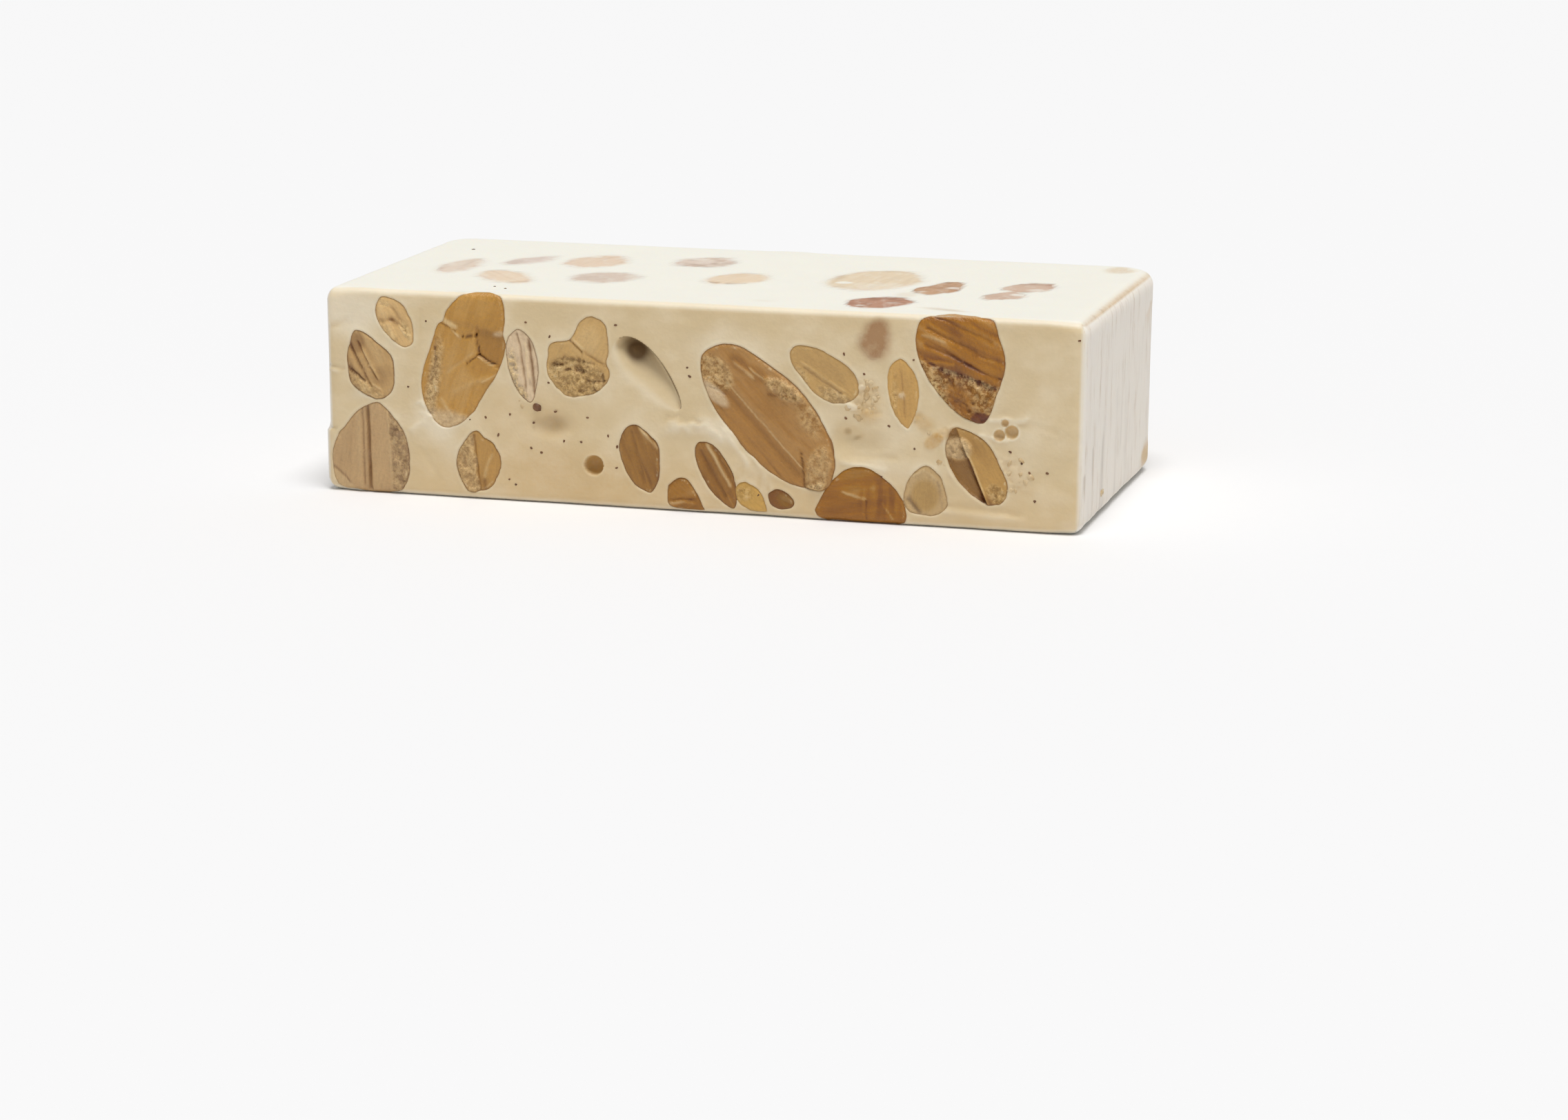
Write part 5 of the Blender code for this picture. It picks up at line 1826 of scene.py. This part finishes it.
@dataclass
class Nougat:
    """The block's nougat: six grids folded into its form, with a socket under each cut almond."""

    almonds: tuple[Almond, ...]
    along_faces: int = 180
    deep_faces: int = 54
    upright_faces: int = 48
    crowding: float = 0.25  # how much closer the rows lie at the front and back than in the middle
    socket_depth: float = 1.5
    socket_slope: float = 0.75
    rim_band: float = 0.33  # how far from an outline the front's finest faces reach
    back_band: float = 1.0  # how far from an outline the back's finer faces reach
    covered: float = -0.7  # how far inside an outline an almond hides the nougat
    lip: float = 0.09  # how far the nougat stands up round a cut almond
    lip_width: float = 0.3
    halo: float = 3.2  # how far round a cut almond the nougat is paler
    fold_height: float = 0.07  # how high the folds stand that the knife dragged along the cut sides
    fold_stretch: tuple[float, float, float] = (3.0, 1.0, 1.0)
    tones: tuple[float, float, float] = (0.3, 0.32, 0.12)  # how much paler the lip, halo and folds are; on the lip this is a painted highlight, on the folds a painted highlight on crests and painted shade in furrows, round the halo the nougat's own paler colour
    mark_depth: float = 1.5  # how far behind a side's plane its marks are felt
    mark_fade: tuple[float, float] = (1.4, 0.2)
    rim_depth: float = 0.3  # how far behind a side's plane lips and folds are felt
    wrap: float = 3.0  # how far behind a side's plane an almond may run over the edge
    far: float = 9.0  # the distance from an almond past which nothing asks for it

    def box(self) -> bpy.types.Mesh:
        """Models a unit cube of grids, welded at its edges and finer where more shows.

        Returns:
            The mesh.
        """
        bm = bmesh.new()
        half = 0.5
        lying = Matrix.Identity(4)
        standing = Matrix.Rotation(math.pi / 2, 4, "X")
        end_on = Matrix.Rotation(2 * math.pi / 3, 4, Vector((1, 1, 1)))
        for turn, out, columns, rows in (
            (lying, Vector((0, 0, half)), self.along_faces, self.deep_faces),
            (standing, Vector((0, half, 0)), self.along_faces, self.upright_faces),
            (end_on, Vector((half, 0, 0)), self.deep_faces, self.upright_faces),
        ):
            for sign in (-1, 1):
                place = Matrix.Translation(out * sign) @ turn
                bmesh.ops.create_grid(bm, x_segments=columns, y_segments=rows, size=half, matrix=place)
        bmesh.ops.remove_doubles(bm, verts=bm.verts, dist=1e-5)
        for wanted in (self.shows, self.is_crisp):
            points = self.sharp(np.array([vert.co for vert in bm.verts]))
            split = wanted(points)
            chosen = {e for v, s in zip(bm.verts, split) if s for f in v.link_faces for e in f.edges}
            bmesh.ops.subdivide_edges(bm, edges=list(chosen), cuts=1, use_grid_fill=True)
        bmesh.ops.triangulate(bm, faces=[face for face in bm.faces if len(face.verts) > 4])
        return as_mesh(bm, "nougat")

    def shows(self, sharp: np.ndarray) -> np.ndarray:
        """Picks the places on the front that no almond covers, and those on the back near an almond's rim.

        Args:
            sharp: Places on the sharp box, one row each.

        Returns:
            Whether each place is one of them.
        """
        wanted = np.zeros(len(sharp), bool)
        for side, band in ((Side.FRONT, math.inf), (Side.BACK, self.back_band)):
            on_side = BAR.depth_behind(side, sharp) < ON_EDGE
            outside = self.nearest(side, sharp)
            wanted |= on_side & (outside > self.covered) & (outside < band)
        return wanted

    def is_crisp(self, sharp: np.ndarray) -> np.ndarray:
        """Picks the places on the front at an almond's rim, a pit or a hollow.

        Args:
            sharp: Places on the sharp box, one row each.

        Returns:
            Whether each place is one of them.
        """
        across, up, _ = BAR.folded(Side.FRONT, sharp)
        wanted = np.abs(self.nearest(Side.FRONT, sharp) + 0.1) < self.rim_band
        for mark in NOUGAT_MARKS[Side.FRONT]:
            if isinstance(mark, (Pit, Hollow)):
                wanted |= mark.close(across, up)
        return wanted & (BAR.depth_behind(Side.FRONT, sharp) < ON_EDGE)

    def nearest(self, side: Side, sharp: np.ndarray) -> np.ndarray:
        """How far outside the nearest cut almond of a side places lie.

        Args:
            side: The side.
            sharp: Places on the sharp box, one row each.

        Returns:
            The distance of each in millimetres.
        """
        across, up, folds = BAR.folded(side, sharp)
        folds &= BAR.depth_behind(side, sharp) < self.wrap
        reach = np.full(len(sharp), self.far)
        for almond in self.almonds:
            if almond.side is not side or almond.lens:
                continue
            reached = almond.length * almond.near + self.halo
            here = folds & (np.hypot(across - almond.across, up - almond.up) < reached)
            reach[here] = np.minimum(reach[here], almond.outside(across[here], up[here]))
        return reach

    def sharp(self, points: np.ndarray) -> np.ndarray:
        """Stretches the unit cube to the sharp box.

        Args:
            points: Places on the unit cube, one row each.

        Returns:
            The places in millimetres.
        """
        deep = 2 * points[:, 1]
        deep = deep * (1 + self.crowding - self.crowding * deep**2) * BAR.depth / 2
        return np.stack([points[:, 0] * BAR.length, deep, (points[:, 2] + 0.5) * BAR.height], axis=1)

    def build(self) -> bpy.types.Object:
        """Models the nougat and stores its finish amounts as attributes.

        Returns:
            The nougat's object.
        """
        mesh = self.box()
        sharp = self.sharp(rows_of(mesh.vertices, "co"))
        placed = BAR.rounded(sharp)
        mesh.vertices.foreach_set("co", (placed * MM).ravel())
        face_outwards(mesh)
        normals = rows_of(mesh.vertex_normals, "vector")
        height = BAR.waves(placed)
        amounts = {name: np.zeros(len(sharp)) for name in ("tone", "crumb")}
        for side, marks in NOUGAT_MARKS.items():
            across, up, here = BAR.folded(side, sharp)
            here &= BAR.depth_behind(side, sharp) < self.mark_depth
            cut = Cut(across[here], up[here])
            for mark in marks:
                mark.mark(cut)
            fade = smooth(*self.mark_fade, BAR.depth_behind(side, sharp[here]))
            height[here] += cut.height * fade
            amounts["tone"][here] += cut.tone * fade
            amounts["crumb"][here] += cut.crumb * fade
        lip_highlight, halo_tone, fold_light_and_shade = self.tones
        for side in (Side.FRONT, Side.BACK):
            outside = self.nearest(side, sharp)
            by_rim = hump(outside, self.lip_width) * (0.5 + 0.6 * layered_noise(placed, 2.0, Seed.LIPS))
            here = BAR.folded(side, sharp)[2] & (BAR.depth_behind(side, sharp) < self.rim_depth)
            halo = smooth(self.halo, 0.4, outside) * (0.6 + 0.5 * layered_noise(placed, 5.0, Seed.HALOS))
            dragged = layered_noise(placed / np.array(self.fold_stretch), 1.5, Seed.DRAGGED, 2)
            folds = dragged * smooth(0.0, 0.5, layered_noise(placed, 7.0, Seed.FOLDS, 2))
            height += np.where(here, self.lip * by_rim + self.fold_height * folds, 0.0)
            # The lip's paleness is a painted highlight and the folds' tone painted highlight and shade; the
            # halo is the nougat's own paler colour.
            amounts["tone"] += np.where(
                here, lip_highlight * by_rim + halo_tone * halo + fold_light_and_shade * folds, 0.0
            )
            height -= np.where(here, self.socket_depth * smooth(0.0, -self.socket_slope, outside), 0.0)
        put(mesh, placed + normals * height[:, None])
        dress_nougat(mesh, sharp, self.almonds, amounts)
        return finish_mesh(mesh, "nougat_bar")


RIM_DARKENING = np.array([0.12, 0.24, 0.28])  # how much of each colour a veiled almond's rim loses
VEIL_WANDER = 0.55  # how far a veiled almond's outline wanders, in millimetres
VEIL_GRAIN = 1.7
VEIL_REACH = 3.0  # how far inside the outline the wandering is felt


def dress_nougat(
    mesh: bpy.types.Mesh,
    sharp: np.ndarray,
    almonds: tuple[Almond, ...],
    amounts: dict[str, np.ndarray],
    film: Union[float, np.ndarray] = 0.0,
) -> None:
    """Stores what the nougat's finish reads at each point.

    Args:
        mesh: The mesh, with its points in the order of sharp.
        sharp: Where each point lies on the sharp box.
        almonds: The almonds that may show through.
        amounts: The attributes tone and crumb.
        film: How much more nougat lies over the almonds at each point.
    """
    cut, chalk = BAR.shares(sharp)
    show = np.zeros(len(sharp))
    flesh = np.zeros((len(sharp), 3))
    for almond in almonds:
        across, up, here = BAR.folded(almond.side, sharp)
        here &= np.hypot(across - almond.across, up - almond.up) < almond.length * almond.near
        if not almond.lens or not here.any():
            continue
        inside = -almond.outside(across[here], up[here])
        wander = layered_noise(sharp[here], VEIL_GRAIN, Seed.VEILS) * smooth(VEIL_REACH, 0.0, inside)
        inside += VEIL_WANDER * wander
        amount = smooth(*almond.band.value, inside)
        better = amount > show[here]
        where = np.flatnonzero(here)[better]
        show[where] = amount[better]
        patches = smooth(-0.2, 0.6, layered_noise(sharp[here], 1.5, Seed.DARK_RIMS, 2))
        rim = hump(inside, 0.4, 0.5) * patches
        darker = 1.0 - rim[better, None] * RIM_DARKENING
        flesh[where] = toned(in_studio(almond.side, almond.tint), amounts["tone"][where]) * darker
    show *= 1.0 - film
    for name, values in {"cut": cut, "chalk": chalk, "show": show, "flesh": flesh, **amounts}.items():
        add_attribute(mesh, name, values)


Bit = tuple[Side, float, float, float]


@dataclass
class Bits:
    """Crumbs or flecks that stick in the nougat, as one piece."""

    name: str
    slot: str
    finish: BitFinish
    flat: float  # thickness over width
    proud: float  # the share of the thickness that stands out
    detail: int
    seed: int

    long = (0.9, 1.5)
    wide = (0.7, 1.0)
    jitter = (-0.28, 0.22)
    turns = (0.0, 6.3)
    sizes = (0.6, 1.3)  # the smallest and the largest, over a cluster's own size
    clear = 0.6  # how far from an almond a bit lies at least, over its radius

    def build(self, bits: list[Bit]) -> bpy.types.Object:
        """Models the bits as jittered balls.

        Args:
            bits: The side, the two coordinates and the radius of each.

        Returns:
            The bits' object.
        """
        draw = random.Random(self.seed)
        bm = bmesh.new()
        for side, across, up, size in bits:
            place, normal = BAR.surface(side, np.array([across]), np.array([up]))
            out = Vector(normal[0])
            relief = BAR.waves(place)[0]
            middle = Vector(place[0]) + out * (relief + size * self.flat * (2 * self.proud - 1))
            upright = out.to_track_quat("Z", "Y").to_matrix().to_4x4()
            turn = upright @ Matrix.Rotation(draw.uniform(*self.turns), 4, "Z")
            shape = (size * draw.uniform(*self.long), size * draw.uniform(*self.wide), size * self.flat, 1)
            matrix = Matrix.Translation(middle * MM) @ turn @ Matrix.Diagonal(shape) @ Matrix.Scale(MM, 4)
            ball = bmesh.ops.create_icosphere(bm, subdivisions=self.detail, radius=1, matrix=matrix)
            for vert in ball["verts"]:
                vert.co += (vert.co - middle * MM) * draw.uniform(*self.jitter)
                vert.co.z = max(vert.co.z, 0.0)
        piece = finish_mesh(as_mesh(bm, self.name), self.name)
        piece.data.materials.append(self.finish.make())
        return piece

    def sprinkle(self, clusters: tuple[Cluster, ...], almonds: tuple[Almond, ...]) -> list[Bit]:
        """Draws a place for each bit of the clusters, clear of the almonds.

        Args:
            clusters: The clusters.
            almonds: The almonds to keep clear of.

        Returns:
            The side, the two coordinates and the radius of each bit.
        """
        draw = random.Random(self.seed + 1)
        bits = []
        for cluster in clusters:
            for _ in range(cluster.count):
                reach, bearing = math.sqrt(draw.random()) / 2, draw.uniform(0, 2 * math.pi)
                along = reach * math.cos(bearing) * cluster.length
                beside = reach * math.sin(bearing) * cluster.width
                over, rise = turned(along, beside, cluster.turn)
                across, up = cluster.across + over, cluster.up + rise
                size = cluster.size * draw.uniform(*self.sizes)
                near = (a for a in almonds if a.side is cluster.side)
                if all(a.outside(np.array([across]), np.array([up]))[0] > size * self.clear for a in near):
                    bits.append((cluster.side, across, up, size))
        return bits


@dataclass(frozen=True)
class Studio:
    """A pale floor under soft light, and the camera."""

    floor_half: float = 3.0
    floor_colour: Colour = (0.862, 0.86, 0.862)
    floor_roughness: float = 0.9
    floor_gloss: float = 0.1
    sky: float = 0.36
    lamp_watts: float = 2.42
    lamp_angle: float = 30.0
    lamp_turn: tuple[float, float, float] = (11.5, 8.0, 0.0)
    lens: float = 91.1
    sensor: float = 36.0
    camera_place: tuple[float, float, float] = (0.1329, -0.44167, 0.09668)
    camera_turn: tuple[float, float, float] = (76.955, 0.0, 16.211)

    def make_floor(self) -> None:
        """Lays the floor."""
        bm = bmesh.new()
        bmesh.ops.create_grid(bm, x_segments=1, y_segments=1, size=self.floor_half)
        floor = new_object("floor", as_mesh(bm, "floor"))
        bench = Bench("pale_floor")
        bench.feed(bench.shader.inputs["Base Color"], self.floor_colour)
        bench.feed(bench.shader.inputs["Roughness"], self.floor_roughness)
        bench.feed(bench.shader.inputs["Specular IOR Level"], self.floor_gloss)
        floor.data.materials.append(bench.material)

    def make_light(self) -> None:
        """Lights the sky and hangs a wide soft lamp above the block, a little to its front and right."""
        world = bpy.data.worlds.new("studio")
        world.use_nodes = True
        background = world.node_tree.nodes["Background"]
        background.inputs["Color"].default_value = (1.0, 1.0, 1.0, 1.0)
        background.inputs["Strength"].default_value = self.sky
        bpy.context.scene.world = world
        lamp = bpy.data.lights.new("lamp", "SUN")
        lamp.energy = self.lamp_watts
        lamp.angle = math.radians(self.lamp_angle)
        new_object("lamp", lamp).rotation_euler = [math.radians(turn) for turn in self.lamp_turn]

    def make_camera(self) -> None:
        """Places the camera."""
        camera = bpy.data.cameras.new("camera")
        camera.lens = self.lens
        camera.sensor_width = self.sensor
        holder = new_object("camera", camera)
        holder.location = self.camera_place
        holder.rotation_euler = [math.radians(turn) for turn in self.camera_turn]
        bpy.context.scene.camera = holder
        bpy.context.scene.view_settings.view_transform = "Standard"


def main() -> None:
    logging.basicConfig(level=logging.INFO, format="%(message)s")
    studio = Studio()
    studio.make_camera()
    studio.make_light()
    studio.make_floor()

    almonds = FRONT_ALMONDS + TOP_ALMONDS + tuple(a.worn() for a in BACK_ALMONDS) + HIDDEN_ALMONDS
    nougat_material = NougatFinish().make()
    flesh_materials = {flesh: FleshFinish(flesh).make() for flesh in Flesh if flesh is not Flesh.VEILED}
    nougat = Nougat(almonds).build()
    nougat.data.materials.append(nougat_material)
    show(nougat, "nougat", "nougat")
    for almond in almonds:
        piece = almond.build()
        piece.data.materials.append(nougat_material if almond.lens else flesh_materials[almond.flesh])
        show(piece, almond.flesh.value, almond.name)

    crumbs = Bits("crumbs", "almond_golden", BitFinish("crumb", (0.74, 0.58, 0.35), (0.56, 0.38, 0.18)),
                  flat=0.5, proud=0.25, detail=2, seed=7)
    show(crumbs.build(crumbs.sprinkle(CRUMBS, almonds)), crumbs.slot)
    flecks = Bits("skin_flecks", "almond_brown", BitFinish("fleck", (0.22, 0.10, 0.04), (0.09, 0.035, 0.015)),
                  flat=0.35, proud=0.6, detail=1, seed=31)
    placed = [(Side.FRONT, across, up, FRONT_SPECK_SIZE) for across, up in FRONT_SPECKS]
    placed += [(Side.TOP, across, up, TOP_SPECK_SIZE) for across, up in TOP_SPECKS]
    placed.append(LONE_FLECK)
    show(flecks.build(placed + flecks.sprinkle((BACK_SPECKS,), almonds)), flecks.slot)


if __name__ == "__main__":
    main()
